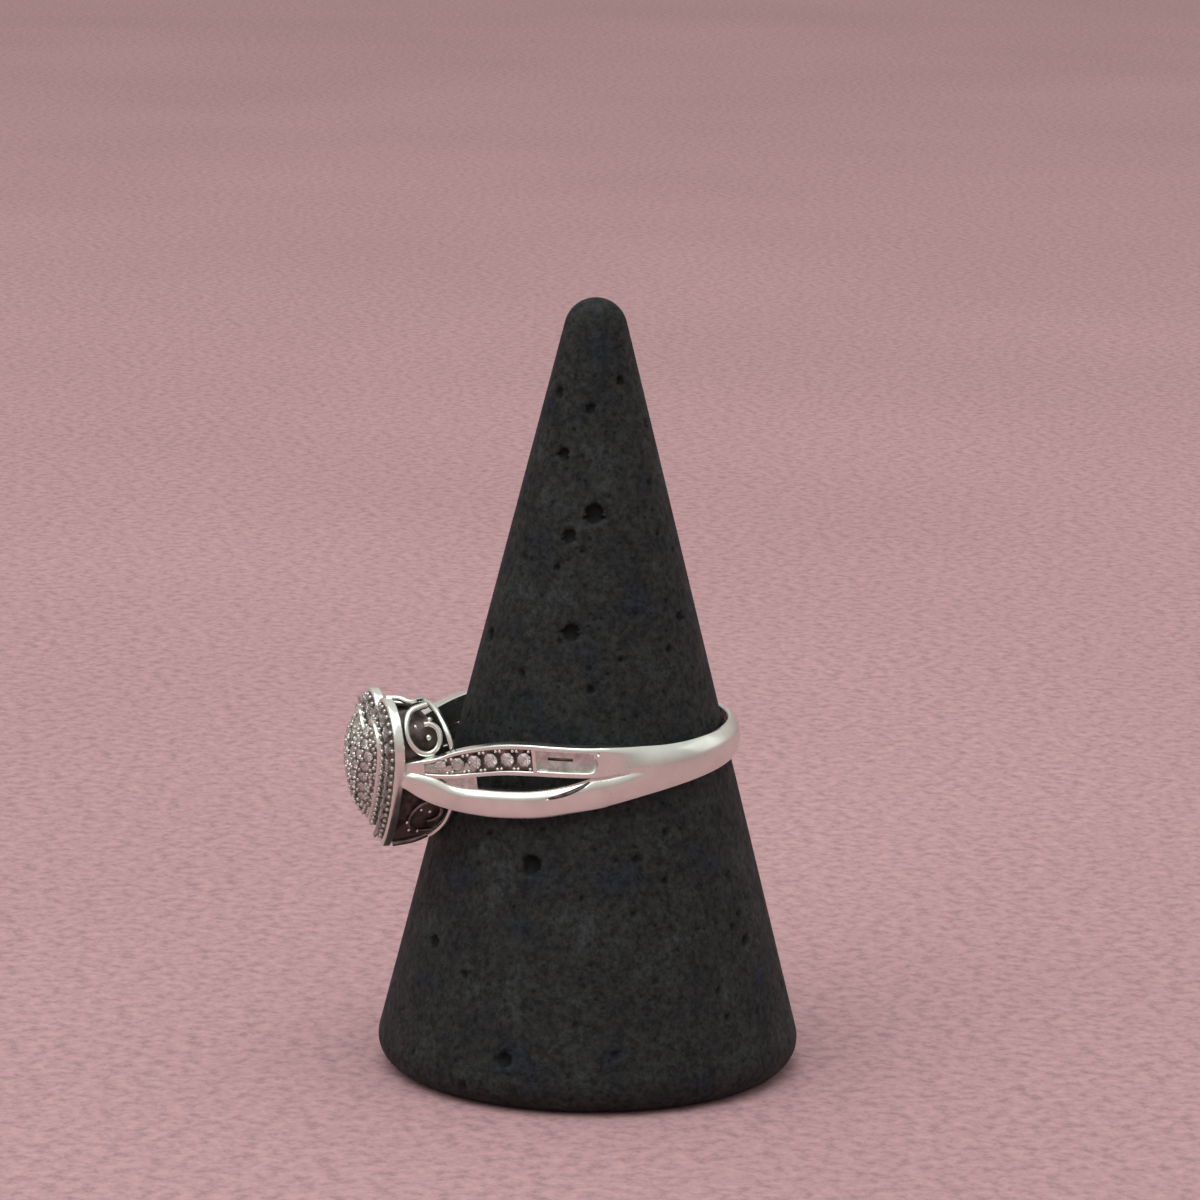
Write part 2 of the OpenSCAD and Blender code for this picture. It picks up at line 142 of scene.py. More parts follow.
# Parts of the channel that get painted shade: share of its depth that counts as sunk, depth below
# the floor from which the slit is shaded, tail of the recess in degrees, and the furthest height
# and depth that they reach
SUNK_SHARE = 0.3
SLIT_SHADE = 0.15
RECESS_TAIL = 4
SHADE_REACH = (0.68, 0.75)

# Open pores of the cone that stand out: angle, height and radius in degrees and mm
PORES = [
    (-16, 34.5, 0.61),
    (-34, 33.2, 0.46),
    (-47, 37.9, 0.42),
    (-67, 41.4, 0.38),
    (-22, 40.7, 0.35),
    (19, 42.2, 0.32),
    (-29, 27.8, 0.55),
    (-86, 26.8, 0.42),
    (41, 28.3, 0.34),
    (-38, 14.4, 0.61),
    (-74, 8.9, 0.46),
    (-40, 3.2, 0.50),
    (42, 9.1, 0.34),
    (-17, 24.5, 0.30),
]

# Small pores: seed of their scatter, radii and heights; a pore's depth as a share of its radius,
# the roundness of its floor and the waviness of its edge
PORE_SEED = 11
PORE_SIZES = (0.12, 0.14, 0.16, 0.2, 0.26)
PORE_FOOT, PORE_RISE = 0.6, 45.2
PORE_DEPTH = 0.75
PORE_POWER = 0.6
PORE_WAVE = 0.22

# Stones of the heart: number and diameter, slope of the row's floor, tilt of its stones and how
# far the floor runs under rim and ridge; pitch, row spacing and first row on the dome; the seats'
# gap, opening and depth as a share of the stone's diameter
HALO_COUNT = 24
HALO_STONE = 0.84
HALO_SLOPE = 0.7
HALO_TILT = 0.6
HALO_OVERLAP = 0.04
DOME_STONE = 0.66
DOME_PITCH = 0.81
DOME_STEP = 0.86
DOME_ROW = 0.28
SEAT_GAP = 0.02
SEAT_OPENING = 0.35
SEAT_DEPTH = 0.45

# Grains: radii and lifts, insets in the row; in the channel their margin, spacing and depth, and
# how many degrees past the last stone its last ones stand
HALO_GRAIN, HALO_LIFT = 0.145, 0.07
DOME_GRAIN, DOME_LIFT = 0.135, 0.045
HALO_INSETS = (0.14, -0.13)
CHANNEL_GRAIN = 0.115
CHANNEL_MARGIN = 0.12
CHANNEL_HALF_STEP = 0.13
GRAIN_SINK = 0.10
LAST_GRAINS = 2.75

# Clearance between the dome's stones and the ridge, and the places between each three stones:
# their shift as shares of the pitch, and the room that they need
DOME_CLEAR = 0.05
BETWEEN = (0.5, 0.29)
BETWEEN_ROOM = 0.12

# Filling of the dome: distance of the grains from each other, from the stones and from the ridge,
# width of the bands that are filled one after the other, and the grid of places tried
GRAIN_GAP = 0.255
STONE_GAP = 0.09
RIDGE_GAP = 0.045
DOME_BAND = 0.11
GRID = 0.05

# Dome: middle, depth of its foot below the ridge, roundness, thickness and shares of its rings
HEART_MID = (0.0, 0.3)
DOME_FOOT = 0.28
DOME_POWER = 0.62
DOME_SHELL = 0.45
DOME_FRONT = (0.03, 0.12, 0.24, 0.36, 0.48, 0.58, 0.68, 0.77, 0.85, 0.91, 0.955, 0.985, 1.0)
DOME_BACK = (1.0, 0.94, 0.8, 0.6, 0.35, 0.1)

# Rounding of the strands' edges as width and fall, and the falls of the domed faces
STONE_BOTTOM = (0.10, 0.09)
STONE_TOP = ((0.12, 0.10), (0.20, 0.10))
PLAIN_TOP = (0.34, 0.14)
PLAIN_SHOULDER = (19, 38)
PLAIN_BOTTOM = 0.20
PLAIN_POWER = 3.0
BAND_FALLS = (0.46, 0.30)
BAND_POWER = 2.4
CHAMFER = 0.06

# Crease in the plain strand, darkened with painted shade: span in degrees, drop below the edge at
# both ends, depth, least and further width, the width of its lower and upper slopes, and the least
# depth from which it gets the painted shade
FOLD_SPAN = (60.0, 77.0)
FOLD_DROP = (0.46, 0.12)
FOLD_DEPTH = 0.20
FOLD_WIDTH = (0.03, 0.15)
FOLD_SLOPES = (0.04, 0.03)
FOLD_SHADE = 0.03

# Rounded tip of the plain strand: end and start in degrees, and drop
NOSE = (17.4, 19.8, 0.55)

# Where the strands end, in degrees: the far ones run on under the rim
PLAIN_ENDS = {"near": 17.4, "far": 14.8}
STONE_ENDS = {"near": 17.0, "far": 12.0}
TUCK = 0.012

# Finger rail on the near side, from the cleft to the point: distance from the ring's middle,
# distance from the heart's middle and height, in mm
RAIL = [
    (9.68, 0.0, 4.07),
    (9.52, 1.2, 4.09),
    (9.39, 2.2, 3.89),
    (9.29, 3.0, 3.44),
    (9.18, 3.5, 2.93),
    (9.09, 3.82, 2.31),
    (9.03, 3.89, 1.54),
    (9.02, 3.85, 0.8),
    (9.02, 3.6, -0.2),
    (9.06, 3.1, -1.3),
    (9.22, 2.4, -2.4),
    (9.58, 1.4, -3.4),
    (10.15, 0.0, -4.12),
]
FAR_SAG = 0.3  # how much lower the far rail's top lies
RAIL_TOP = 2.5  # height above which it does

# Scroll of the gallery beside a lobe, in the same columns
SCROLL = [
    (9.97, 2.50, 4.34),
    (10.39, 2.61, 4.31),
    (10.98, 2.83, 4.19),
    (11.38, 3.23, 3.83),
    (11.57, 3.56, 3.34),
    (11.55, 3.80, 2.72),
    (11.26, 3.89, 2.16),
    (10.78, 3.90, 1.79),
    (10.26, 3.90, 1.77),
    (9.86, 3.89, 2.08),
    (9.67, 3.81, 2.55),
    (9.72, 3.64, 3.04),
    (10.05, 3.48, 3.36),
    (10.48, 3.46, 3.43),
]
SCROLL_FOOT = 1.8  # height from which the far scroll sags
FAR_SCROLL_SAG = 0.3  # its sag as a share of the height above that
SCROLL_BEADS = [(10.05, 3.31, 3.62, 0.17), (10.32, 3.72, 2.66, 0.20), (10.99, 3.51, 3.38, 0.13)]
SCROLL_POST = [(10.20, 3.89, 1.77), (10.21, 3.88, 1.4), (10.22, 3.86, 1.0)]
POINT_POST = [(10.15, 0, -4.12), (11.1, 0, -4.33), (12.4, 0, -4.36)]

# Thickness of the scroll's wire as a share of that in the CAD, and of the others as shares of it
WIRE_SHARE = 1.22
RAIL_WIRE, POST_WIRE, ROOF_WIRE, LOWER_WIRE = 0.95, 0.8, 0.85, 0.6

# Wires over the gallery's top, near and far
ROOFS = {
    1: [(9.70, 0.3, 4.10), (10.32, 1.9, 4.52), (10.85, 2.1, 4.58), (11.33, 1.7, 4.80),
        (12.05, 1.4, 4.88)],
    -1: [(9.70, -0.3, 3.85), (10.9, -0.9, 3.9), (12.1, -1.2, 4.3)],
}

# Lower gallery: height of its scroll as a share of the upper one's, and its beads
LOWER_SHARE = -0.86
LOWER_BEADS = [(10.95, -1.95), (11.75, -2.75), (11.0, -3.6), (11.55, -3.4), (10.4, -2.2)]
LOWER_BEAD = 0.12

# Wall of painted shade in the gallery, a dark sheet behind the wires: inset above and below,
# thickness, and the heights between the two; how far out it starts, more so toward top and point,
# and how it follows the leaning rim
WALL_INSET = (0.95, 0.22)
WALL_THICK = 0.17
WALL_TURN = (0.6, -1.6)
WALL_START = (9.3, 0.95, 4.0)
WALL_LEAN = 0.079
WALL_LIFT = 0.15

# Lamps: name, place, size and power in watts
LAMPS = (
    ("soft_top", (0.12, -0.14, 0.75), (0.80, 0.60), 2.4),
    ("soft_left", (0.30, -0.50, 0.60), (0.50, 0.50), 0.85),
    ("soft_right", (-0.05, 0.80, 0.38), (0.50, 0.50), 0.32),
)
LAMP_AIM = Vector((0, 0, 0.02))
SURROUNDINGS = ((0.0, (0.62, 0.50, 0.48, 1)), (0.65, (1.0, 0.985, 0.94, 1)))
SURROUNDINGS_STRENGTH = 0.64
FLOOR_RADIUS = 3.0


class RingSizes(bpy.types.PropertyGroup):
    """Sizes of the ring and its place on the cone"""

    height: bpy.props.FloatProperty(
        name="Height", description="Height of the ring's middle above the table",
        default=20.05 * MM, unit="LENGTH")
    shift: bpy.props.FloatProperty(
        name="Shift", description="Shift of the ring's middle toward the heart",
        default=0.55 * MM, unit="LENGTH")
    droop: bpy.props.FloatProperty(
        name="Droop", description="Angle by which the heart hangs lower than the back",
        default=math.radians(6.75), subtype="ANGLE")
    finger: bpy.props.FloatProperty(
        name="Finger", description="Inside diameter of the band",
        default=17.7 * MM, unit="LENGTH")
    depth: bpy.props.FloatProperty(
        name="Strand thickness", description="Thickness of the strands beside the head",
        default=0.85 * MM, unit="LENGTH")
    groove: bpy.props.FloatProperty(
        name="Channel depth", description="Depth of the stone channel below its rails",
        default=0.38 * MM, unit="LENGTH")
    channel: bpy.props.FloatProperty(
        name="Channel width", description="Width of the channel between its rails",
        default=1.32 * MM, unit="LENGTH")
    wire: bpy.props.FloatProperty(
        name="Gallery wire", description="Thickness of the gallery wires",
        default=0.34 * MM, unit="LENGTH")


class HeartSizes(bpy.types.PropertyGroup):
    """Sizes of the heart head"""

    width: bpy.props.FloatProperty(
        name="Width", description="Width of the heart over its rim",
        default=8.8 * MM, unit="LENGTH")
    top: bpy.props.FloatProperty(
        name="Top", description="Height of the lobes above the ring's middle plane",
        default=4.92 * MM, unit="LENGTH")
    point: bpy.props.FloatProperty(
        name="Point", description="Reach of the point below the ring's middle plane",
        default=4.49 * MM, unit="LENGTH")
    lobe: bpy.props.FloatProperty(
        name="Lobe offset", description="Distance of each lobe's top from the middle",
        default=1.5 * MM, unit="LENGTH")
    cleft: bpy.props.FloatProperty(
        name="Cleft radius", description="Radius of the lobes beside the cleft",
        default=1.62 * MM, unit="LENGTH")
    flank: bpy.props.FloatProperty(
        name="Flank radius", description="Radius of the heart's flanks",
        default=14 * MM, unit="LENGTH")
    lean: bpy.props.FloatProperty(
        name="Lean", description="Lean of the heart's top toward the finger",
        default=math.radians(4.5), subtype="ANGLE")
    plane: bpy.props.FloatProperty(
        name="Rim distance", description="Distance of the rim's back from the ring's middle",
        default=12.16 * MM, unit="LENGTH")
    rim: bpy.props.FloatProperty(
        name="Rim height", description="Height of the polished rim",
        default=0.6 * MM, unit="LENGTH")
    rim_width: bpy.props.FloatProperty(
        name="Rim width", description="Width of the rim's front edge",
        default=0.28 * MM, unit="LENGTH")
    row: bpy.props.FloatProperty(
        name="Row width", description="Width of the stone row between rim and ridge",
        default=0.92 * MM, unit="LENGTH")
    ridge_width: bpy.props.FloatProperty(
        name="Ridge width", description="Width of the ridge round the dome",
        default=0.24 * MM, unit="LENGTH")
    ridge: bpy.props.FloatProperty(
        name="Ridge height", description="Height of the ridge above the rim's back",
        default=1.38 * MM, unit="LENGTH")
    dome: bpy.props.FloatProperty(
        name="Dome rise", description="Rise of the dome from its foot to its crown",
        default=1.32 * MM, unit="LENGTH")


class ConeSizes(bpy.types.PropertyGroup):
    """Sizes of the cone"""

    angle: bpy.props.FloatProperty(
        name="Angle", description="Angle between the cone's side and its axis",
        default=math.radians(14.1), subtype="ANGLE")
    foot_round: bpy.props.FloatProperty(
        name="Foot", description="Radius of the rounding at the foot",
        default=1.7 * MM, unit="LENGTH")
    tip_round: bpy.props.FloatProperty(
        name="Tip", description="Radius of the rounded tip",
        default=1.9 * MM, unit="LENGTH")
    pores: bpy.props.IntProperty(
        name="Small pores", description="Number of small pores scattered over the cone",
        default=260, min=0, max=600)


class Finishes(bpy.types.PropertyGroup):
    """Colours of the metal, the stones, the cone and the floor"""

    silver: bpy.props.FloatVectorProperty(
        name="Silver", description="Colour of the polished silver",
        subtype="COLOR", size=3, min=0, max=1, default=(0.90, 0.93, 0.87))
    # The recess colour is painted shade: silver darkened for the floors under the stones and other
    # hollows
    recess: bpy.props.FloatVectorProperty(
        name="Recesses", description="Colour of the darkened silver under the stones",
        subtype="COLOR", size=3, min=0, max=1, default=(0.17, 0.15, 0.135))
    stone: bpy.props.FloatVectorProperty(
        name="Cone", description="Colour of the cone's stone",
        subtype="COLOR", size=3, min=0, max=1, default=(0.0184, 0.0213, 0.0223))
    floor: bpy.props.FloatVectorProperty(
        name="Floor", description="Colour of the floor",
        subtype="COLOR", size=3, min=0, max=1, default=(0.52, 0.325, 0.345))


def smooth(table, angle, column):
    """Value between the rows of a table, drawn smoothly through them"""
    k = max([0] + [i for i in range(len(table) - 1) if table[i][0] <= angle])
    here, there = table[k], table[k + 1]
    before, after = table[max(k - 1, 0)], table[min(k + 2, len(table) - 1)]
    span = there[0] - here[0]
    u = min(max((angle - here[0]) / span, 0), 1)
    rise_in = (there[column] - before[column]) / (there[0] - before[0])
    rise_out = (after[column] - here[column]) / (after[0] - here[0])
    return (
        here[column] * (2 * u**3 - 3 * u**2 + 1)
        + rise_in * span * (u**3 - 2 * u**2 + u)
        + there[column] * (3 * u**2 - 2 * u**3)
        + rise_out * span * (u**3 - u**2)
    )


def part_way(value, start, stop):
    """How far a value has come from start to stop, from 0 to 1"""
    return min(max((value - start) / (stop - start), 0), 1)


def eased(u):
    """A share that starts and ends gently"""
    return u * u * (3 - 2 * u)


def ring_place(ring):
    """Matrix from the ring's own frame, in mm, to the cone's frame, in metres"""
    return (
        Matrix.Translation((0, -ring.shift, ring.height))
        @ Matrix.Rotation(ring.droop, 4, "X")
        @ Matrix.Rotation(math.radians(-90), 4, "Z")
        @ Matrix.Scale(MM, 4)
    )


def head_place(ring, heart):
    """Matrix from the heart's own frame, in mm, to the cone's frame, in metres"""
    return (
        ring_place(ring)
        @ Matrix.Translation((heart.plane / MM, 0, 0))
        @ Matrix.Rotation(-heart.lean, 4, "Y")
    )


SIDES = (("near", Matrix.Identity(4)), ("far", Matrix.Rotation(math.pi, 4, "X")))


def halves(ring):
    """Name and place of the near and the far half of the ring"""
    return [(side, ring_place(ring) @ turn) for side, turn in SIDES]


def face_at(table, angle):
    """Point on a strand's outer face, in the ring's plane"""
    r = smooth(table, angle, 1)
    a = math.radians(angle)
    return Vector((r * math.cos(a), r * math.sin(a), 0))


def outward(table, angle):
    """Direction that a strand's outer face looks in"""
    d = (face_at(table, angle + 0.4) - face_at(table, angle - 0.4)).normalized()
    return Vector((d.y, -d.x, 0))


def on_strand(table, angle, depth, height):
    """Point of a strand; past the band's start it lies a little deeper, under the band"""
    tuck = TUCK if angle > BAND_START else 0
    return face_at(table, angle) + outward(table, angle) * (depth - tuck) + Vector((0, 0, height))


def faces_of(piece, place, table):
    """Each face of a strand, with its angle, its depth below the outer face and its height"""
    back = place.inverted()
    for face in piece.data.polygons:
        p = back @ face.center
        angle = math.degrees(math.atan2(p.y, p.x))
        yield face, angle, smooth(table, angle, 1) - math.hypot(p.x, p.y), p.z


def arc(middle, radius, start, stop, steps, last=0):
    """Points along an arc; its end is left out unless last is 1"""
    turns = [start + (stop - start) * i / steps for i in range(steps + last)]
    return [(middle[0] + radius * math.cos(a), middle[1] + radius * math.sin(a)) for a in turns]


def heart_half(heart, inset, cleft_steps=5, lobe_steps=26, flank_steps=18):
    """Half of the heart's outline, moved inward: cleft, lobe, flank and point, in mm"""
    w = heart.lobe / MM
    lobe_r = heart.width / MM / 2 - w
    flank_r = heart.flank / MM
    cleft_r = heart.cleft / MM
    inner_y = heart.top / MM - cleft_r
    cleft_y = inner_y + math.sqrt(cleft_r**2 - w**2)
    c = Vector((w, heart.top / MM - lobe_r))
    e = Vector((0, -heart.point / MM)) - c
    f = flank_r - lobe_r
    m = (f**2 - flank_r**2 + e.length**2) / (2 * e.length)
    g = math.sqrt(f**2 - m**2)
    u = e.normalized()
    k = c + m * u + g * Vector((u.y, -u.x))
    start = math.atan2(cleft_y - inner_y, -w)
    join = math.atan2(c.y - k.y, c.x - k.x)
    turn = math.atan2(inner_y - cleft_y, w)
    end = -math.acos(-k.x / (flank_r - inset))
    inner_steps = round(lobe_steps / 3)
    return (
        arc((0, cleft_y), inset, -math.pi / 2, turn, cleft_steps)
        + arc((w, inner_y), cleft_r - inset, start, math.pi / 2, inner_steps)
        + arc(c, lobe_r - inset, math.pi / 2, join, lobe_steps - inner_steps)
        + arc(k, flank_r - inset, join, end, flank_steps, last=1)
    )


def heart_outline(heart, inset, **steps):
    """Whole outline of the heart, moved inward, in mm"""
    half = heart_half(heart, inset, **steps)
    return half + [(-x, y) for x, y in half[-2:0:-1]]


def polar(point):
    """Angle and distance of a point of the heart from its middle"""
    return math.atan2(point[0], point[1] - HEART_MID[1]), math.dist(point, HEART_MID)


class Dome:
    """Face of the dome inside the ridge, in the heart's own frame"""

    def __init__(self, heart):
        self.inset = (heart.rim_width + heart.row + heart.ridge_width) / MM
        self.foot = heart.ridge / MM - DOME_FOOT
        self.rise = heart.dome / MM
        self.outline = heart_outline(heart, self.inset)
        half = [polar(p) for p in heart_half(heart, self.inset)]
        self.angles = [a for a, r in half]
        self.reach = [r for a, r in half]

    def share(self, point):
        """Distance from the middle as a share of the outline's"""
        a, r = polar((abs(point[0]), point[1]))
        return r / np.interp(a, self.angles, self.reach)

    def room(self, point):
        """Distance to the outline, and -1 outside it"""
        if self.share(point) > 1:
            return -1
        return min(math.dist(point, q) for q in self.outline)

    def height(self, point):
        return self.foot + self.rise * max(1 - self.share(point) ** 2, 0.0001) ** DOME_POWER

    def place(self, point, lift=0.01, near=0.15):
        """Matrix that brings a stone to a point of the dome, table outward"""
        x, y = point
        slope_x = (self.height((x + near, y)) - self.height((x - near, y))) / (2 * near)
        slope_y = (self.height((x, y + near)) - self.height((x, y - near))) / (2 * near)
        normal = Vector((1, -slope_x, -slope_y)).normalized()
        return facing(Vector((self.height(point) + lift, x, y)), normal)

    def lattice(self, reach, shift=0.0, rise=0.0):
        """Points of the stones' staggered rows, moved by shares of their pitch"""
        for j in range(-reach, reach + 2):
            for i in range(-reach, reach + 1):
                x = (i + shift + (abs(j) % 2) / 2) * DOME_PITCH
                yield x, DOME_ROW + j * DOME_PITCH * DOME_STEP + rise * DOME_PITCH

    def spots(self):
        """Places of the stones, row by row"""
        return [p for p in self.lattice(5) if self.room(p) > DOME_STONE / 2 + DOME_CLEAR]

    def between(self):
        """Places between each three neighbouring stones"""
        shift, rise = BETWEEN
        below, above = (self.lattice(6, shift, side * rise) for side in (-1, 1))
        return [p for pair in zip(below, above) for p in pair if self.room(p) > BETWEEN_ROOM]

    def border(self):
        """Places that fill what the others leave bare, in pairs, from the ridge inward"""
        taken = [(self.place(p).translation, DOME_STONE / 2 + STONE_GAP) for p in self.spots()]
        taken += [(self.place(p).translation, GRAIN_GAP) for p in self.between()]
        grid = [(x * GRID, y * GRID) for x in range(60) for y in range(-80, 70)]
        inside = [(self.room(p), p) for p in grid if self.share(p) < 1]
        sweep = sorted(
            (int(room / DOME_BAND), polar(p)[0], p) for room, p in inside if room > RIDGE_GAP)
        out = []
        for _, _, p in sweep:
            pair = [p, (-p[0], p[1])] if p[0] > 0 else [p]
            spots = [self.place(q).translation for q in pair]
            alone = len(pair) == 1 or 2 * p[0] > GRAIN_GAP
            if alone and all((spots[0] - q).length > clear for q, clear in taken):
                out += pair
                taken += [(q, GRAIN_GAP) for q in spots]
        return out


def facing(point, normal):
    """Matrix that brings a thing made along +Z to a point, looking along a direction"""
    tilt = Matrix.Rotation(math.acos(normal.z / normal.length), 4, "Y")
    swing = Matrix.Rotation(math.atan2(normal.y, normal.x), 4, "Z")
    return Matrix.Translation(point) @ swing @ tilt


def along(outline, count, start=0.0):
    """Places evenly spread along a closed outline with the outward direction at each"""
    points = outline + outline[:1]
    run = [0]
    for p, q in zip(points, points[1:]):
        run.append(run[-1] + math.dist(p, q))
    places = []
    for k in range(count):
        s = (k + start) * run[-1] / count
        i = max(j for j in range(len(run) - 1) if run[j] <= s)
        u = (s - run[i]) / (run[i + 1] - run[i])
        p, q = Vector(points[i]), Vector(points[i + 1])
        d = (q - p).normalized()
        places.append((p + (q - p) * u, Vector((d.y, -d.x))))
    return places


def deselect():
    """Leaves edit mode with nothing selected"""
    if bpy.context.object and bpy.context.object.mode != "OBJECT":
        bpy.ops.object.mode_set(mode="OBJECT")
    bpy.ops.object.select_all(action="DESELECT")


def choose(piece):
    """Selects one piece alone"""
    deselect()
    piece.select_set(True)
    bpy.context.view_layer.objects.active = piece


def sealed(piece, ends=False):
    """Closes a piece's seam, and its ends when asked, and turns its faces outward"""
    bpy.ops.object.mode_set(mode="EDIT")
    bpy.ops.mesh.select_all(action="SELECT")
    bpy.ops.mesh.remove_doubles(threshold=2e-7)
    if ends:
        bpy.ops.mesh.select_mode(type="EDGE")
        bpy.ops.mesh.select_all(action="SELECT")
        bpy.ops.mesh.fill_holes(sides=0)
    bpy.ops.mesh.select_all(action="SELECT")
    bpy.ops.mesh.normals_make_consistent(inside=False)
    bpy.ops.object.mode_set(mode="OBJECT")
    return piece


def skin(name, rings, loop=False, depths=None):
    """A grid bent into a tube through rings of points and closed at its seam and ends.

    Depths, when given, are kept with the points as the attribute "depth".
    """
    rings = np.asarray(rings, float)
    rings = np.concatenate([rings, rings[:, :1]], axis=1)
    if loop:
        rings = np.concatenate([rings, rings[:1]], axis=0)
    rows, columns = rings.shape[:2]
    deselect()
    bpy.ops.mesh.primitive_grid_add(x_subdivisions=columns - 1, y_subdivisions=rows - 1, size=1)
    piece = bpy.context.object
    piece.name = piece.data.name = name
    piece.data.vertices.foreach_set("co", rings.reshape(-1))
    if depths is not None:
        depths = np.concatenate([depths, depths[:, :1]], axis=1)
        kept = piece.data.attributes.new("depth", "FLOAT", "POINT")
        kept.data.foreach_set("value", depths.reshape(-1).astype(np.float32))
    piece.data.update()
    return sealed(piece, ends=not loop)


def moved(points, place):
    """Rings of points in mm, brought to their place in metres"""
    return [[(place @ Vector(p))[:] for p in ring] for ring in points]


def bent_wire(name, points, place, width, taper=1.0, closed=False):
    """A round wire bent smoothly through points"""
    deselect()
    bpy.ops.curve.primitive_bezier_curve_add()
    piece = bpy.context.object
    piece.name = name
    data = piece.data
    data.dimensions = "3D"
    data.resolution_u = 6
    data.bevel_depth = width / 2
    data.bevel_resolution = 3
    data.use_fill_caps = not closed
    spline = data.splines[0]
    spline.bezier_points.add(len(points) - 2)
    spline.use_cyclic_u = closed
    for k, (knot, p) in enumerate(zip(spline.bezier_points, points)):
        knot.handle_left_type = knot.handle_right_type = "AUTO"
        knot.co = place @ Vector(p)
        knot.radius = 1 + (taper - 1) * k / (len(points) - 1)
    bpy.ops.object.convert(target="MESH")
    return sealed(bpy.context.object)


def copies(name, pattern, places):
    """Copies of a small pattern at each place, each with its own mesh, joined into one piece"""
    made = []
    for place in places:
        copy = pattern.copy()
        copy.data = pattern.data.copy()
        copy.data.transform(place)
        bpy.context.collection.objects.link(copy)
        made.append(copy)
    bpy.data.objects.remove(pattern)
    return joined(name, made)


def joined(name, pieces):
    """Pieces joined into one"""
    choose(pieces[0])
    for piece in pieces:
        piece.select_set(True)
    if len(pieces) > 1:
        bpy.ops.object.join()
    piece = bpy.context.object
    piece.name = piece.data.name = name
    return piece


def grain(radius):
    """A small round grain of metal, in mm"""
    deselect()
    bpy.ops.mesh.primitive_ico_sphere_add(subdivisions=2, radius=radius)
    return bpy.context.object


def seat_cutter(diameter):
    """A cone that opens upward, a little wider than a stone, in mm"""
    deep = SEAT_DEPTH * diameter
    deselect()
    bpy.ops.mesh.primitive_cone_add(
        vertices=20, radius1=0.03, radius2=diameter / 2 + SEAT_GAP, depth=deep,
        location=(0, 0, -deep / 2 - 0.02), end_fill_type="NGON")
    cutter = bpy.context.object
    bpy.ops.object.transform_apply(location=True, rotation=True, scale=True)
    bpy.ops.object.mode_set(mode="EDIT")
    bpy.ops.mesh.select_mode(type="FACE")
    bpy.ops.mesh.select_all(action="DESELECT")
    bpy.ops.object.mode_set(mode="OBJECT")
    for face in cutter.data.polygons:
        face.select = face.normal.z > 0.9 and face.center.z > -0.1
    bpy.ops.object.mode_set(mode="EDIT")
    bpy.ops.mesh.extrude_region_move(TRANSFORM_OT_translate={"value": (0, 0, SEAT_OPENING)})
    bpy.ops.object.mode_set(mode="OBJECT")
    return cutter


def cut(piece, cutter):
    """Cuts one piece with another, which is then removed"""
    choose(piece)
    knife = piece.modifiers.new("Seats", "BOOLEAN")
    knife.operation = "DIFFERENCE"
    knife.solver = "EXACT"
    knife.use_self = True
    knife.object = cutter
    bpy.ops.object.modifier_apply(modifier="Seats")
    bpy.data.objects.remove(cutter)


def finish_of(make):
    """The finish that a function makes, made when it is first asked for"""
    return bpy.data.materials.get(make.__name__) or make()


def dress(piece, make, angle=32, stands_for="ring_mounting"):
    """Smooths a piece, gives it its finish, hangs it under the root and hides the part that it
    stands for
    """
    choose(piece)
    bpy.ops.object.shade_smooth_by_angle(angle=math.radians(angle))
    piece.data.materials.clear()
    piece.data.materials.append(finish_of(make))
    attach(piece, "root")
    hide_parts(stands_for)
    return piece


class Nodes:
    """Short hand for a material's nodes: each call adds one and gives its output"""

    def __init__(self, name):
        self.material = bpy.data.materials.new(name)
        self.material.use_nodes = True
        self.tree = self.material.node_tree
        self.shader = self.tree.nodes["Principled BSDF"]
        self.place = self.add("ShaderNodeTexCoord").outputs["Object"]

    def add(self, kind, **values):
        node = self.tree.nodes.new(kind)
        for key, value in values.items():
            setattr(node, key, value)
        return node

    def join(self, a, b):
        self.tree.links.new(a, b)

    def feed(self, socket, value):
        """Leads an output to a socket of the shader"""
        self.join(value, self.shader.inputs[socket])

    def set(self, socket, value):
        """Sets a socket of the shader to the same value all over"""
        self.shader.inputs[socket].default_value = value

    def stretched(self, scale):
        node = self.add("ShaderNodeMapping")
        node.inputs["Scale"].default_value = scale
        self.join(self.place, node.inputs["Vector"])
        return node.outputs["Vector"]

    def noise(self, scale, detail, roughness=0.5, vector=None):
        node = self.add("ShaderNodeTexNoise")
        node.inputs["Scale"].default_value = scale
        node.inputs["Detail"].default_value = detail
        node.inputs["Roughness"].default_value = roughness
        self.join(vector or self.place, node.inputs["Vector"])
        return node.outputs["Fac"]

    def cells(self, scale):
        node = self.add("ShaderNodeTexVoronoi", feature="F1")
        node.inputs["Scale"].default_value = scale
        self.join(self.place, node.inputs["Vector"])
        return node.outputs["Distance"]

    def ramp(self, value, stops):
        node = self.add("ShaderNodeValToRGB")
        elements = node.color_ramp.elements
        while len(elements) < len(stops):
            elements.new(0.5)
        for element, (position, colour) in zip(elements, stops):
            element.position = position
            element.color = (*colour, 1)
        self.join(value, node.inputs["Fac"])
        return node.outputs["Color"]

    def spread(self, value, low, high, start, stop):
        """Brings a value's range from start to stop to that from low to high"""
        node = self.add("ShaderNodeMapRange")
        node.inputs["From Min"].default_value = start
        node.inputs["From Max"].default_value = stop
        node.inputs["To Min"].default_value = low
        node.inputs["To Max"].default_value = high
        self.join(value, node.inputs["Value"])
        return node.outputs["Result"]

    def bump(self, height, strength, distance, below=None):
        node = self.add("ShaderNodeBump")
        node.inputs["Strength"].default_value = strength
        node.inputs["Distance"].default_value = distance
        self.join(height, node.inputs["Height"])
        if below:
            self.join(below, node.inputs["Normal"])
        return node.outputs["Normal"]

    def times(self, a, b):
        """Product of two colours"""
        node = self.add("ShaderNodeMix", data_type="RGBA", blend_type="MULTIPLY")
        node.inputs["Factor"].default_value = 1.0
        self.join(a, node.inputs["A"])
        self.join(b, node.inputs["B"])
        return node.outputs["Result"]


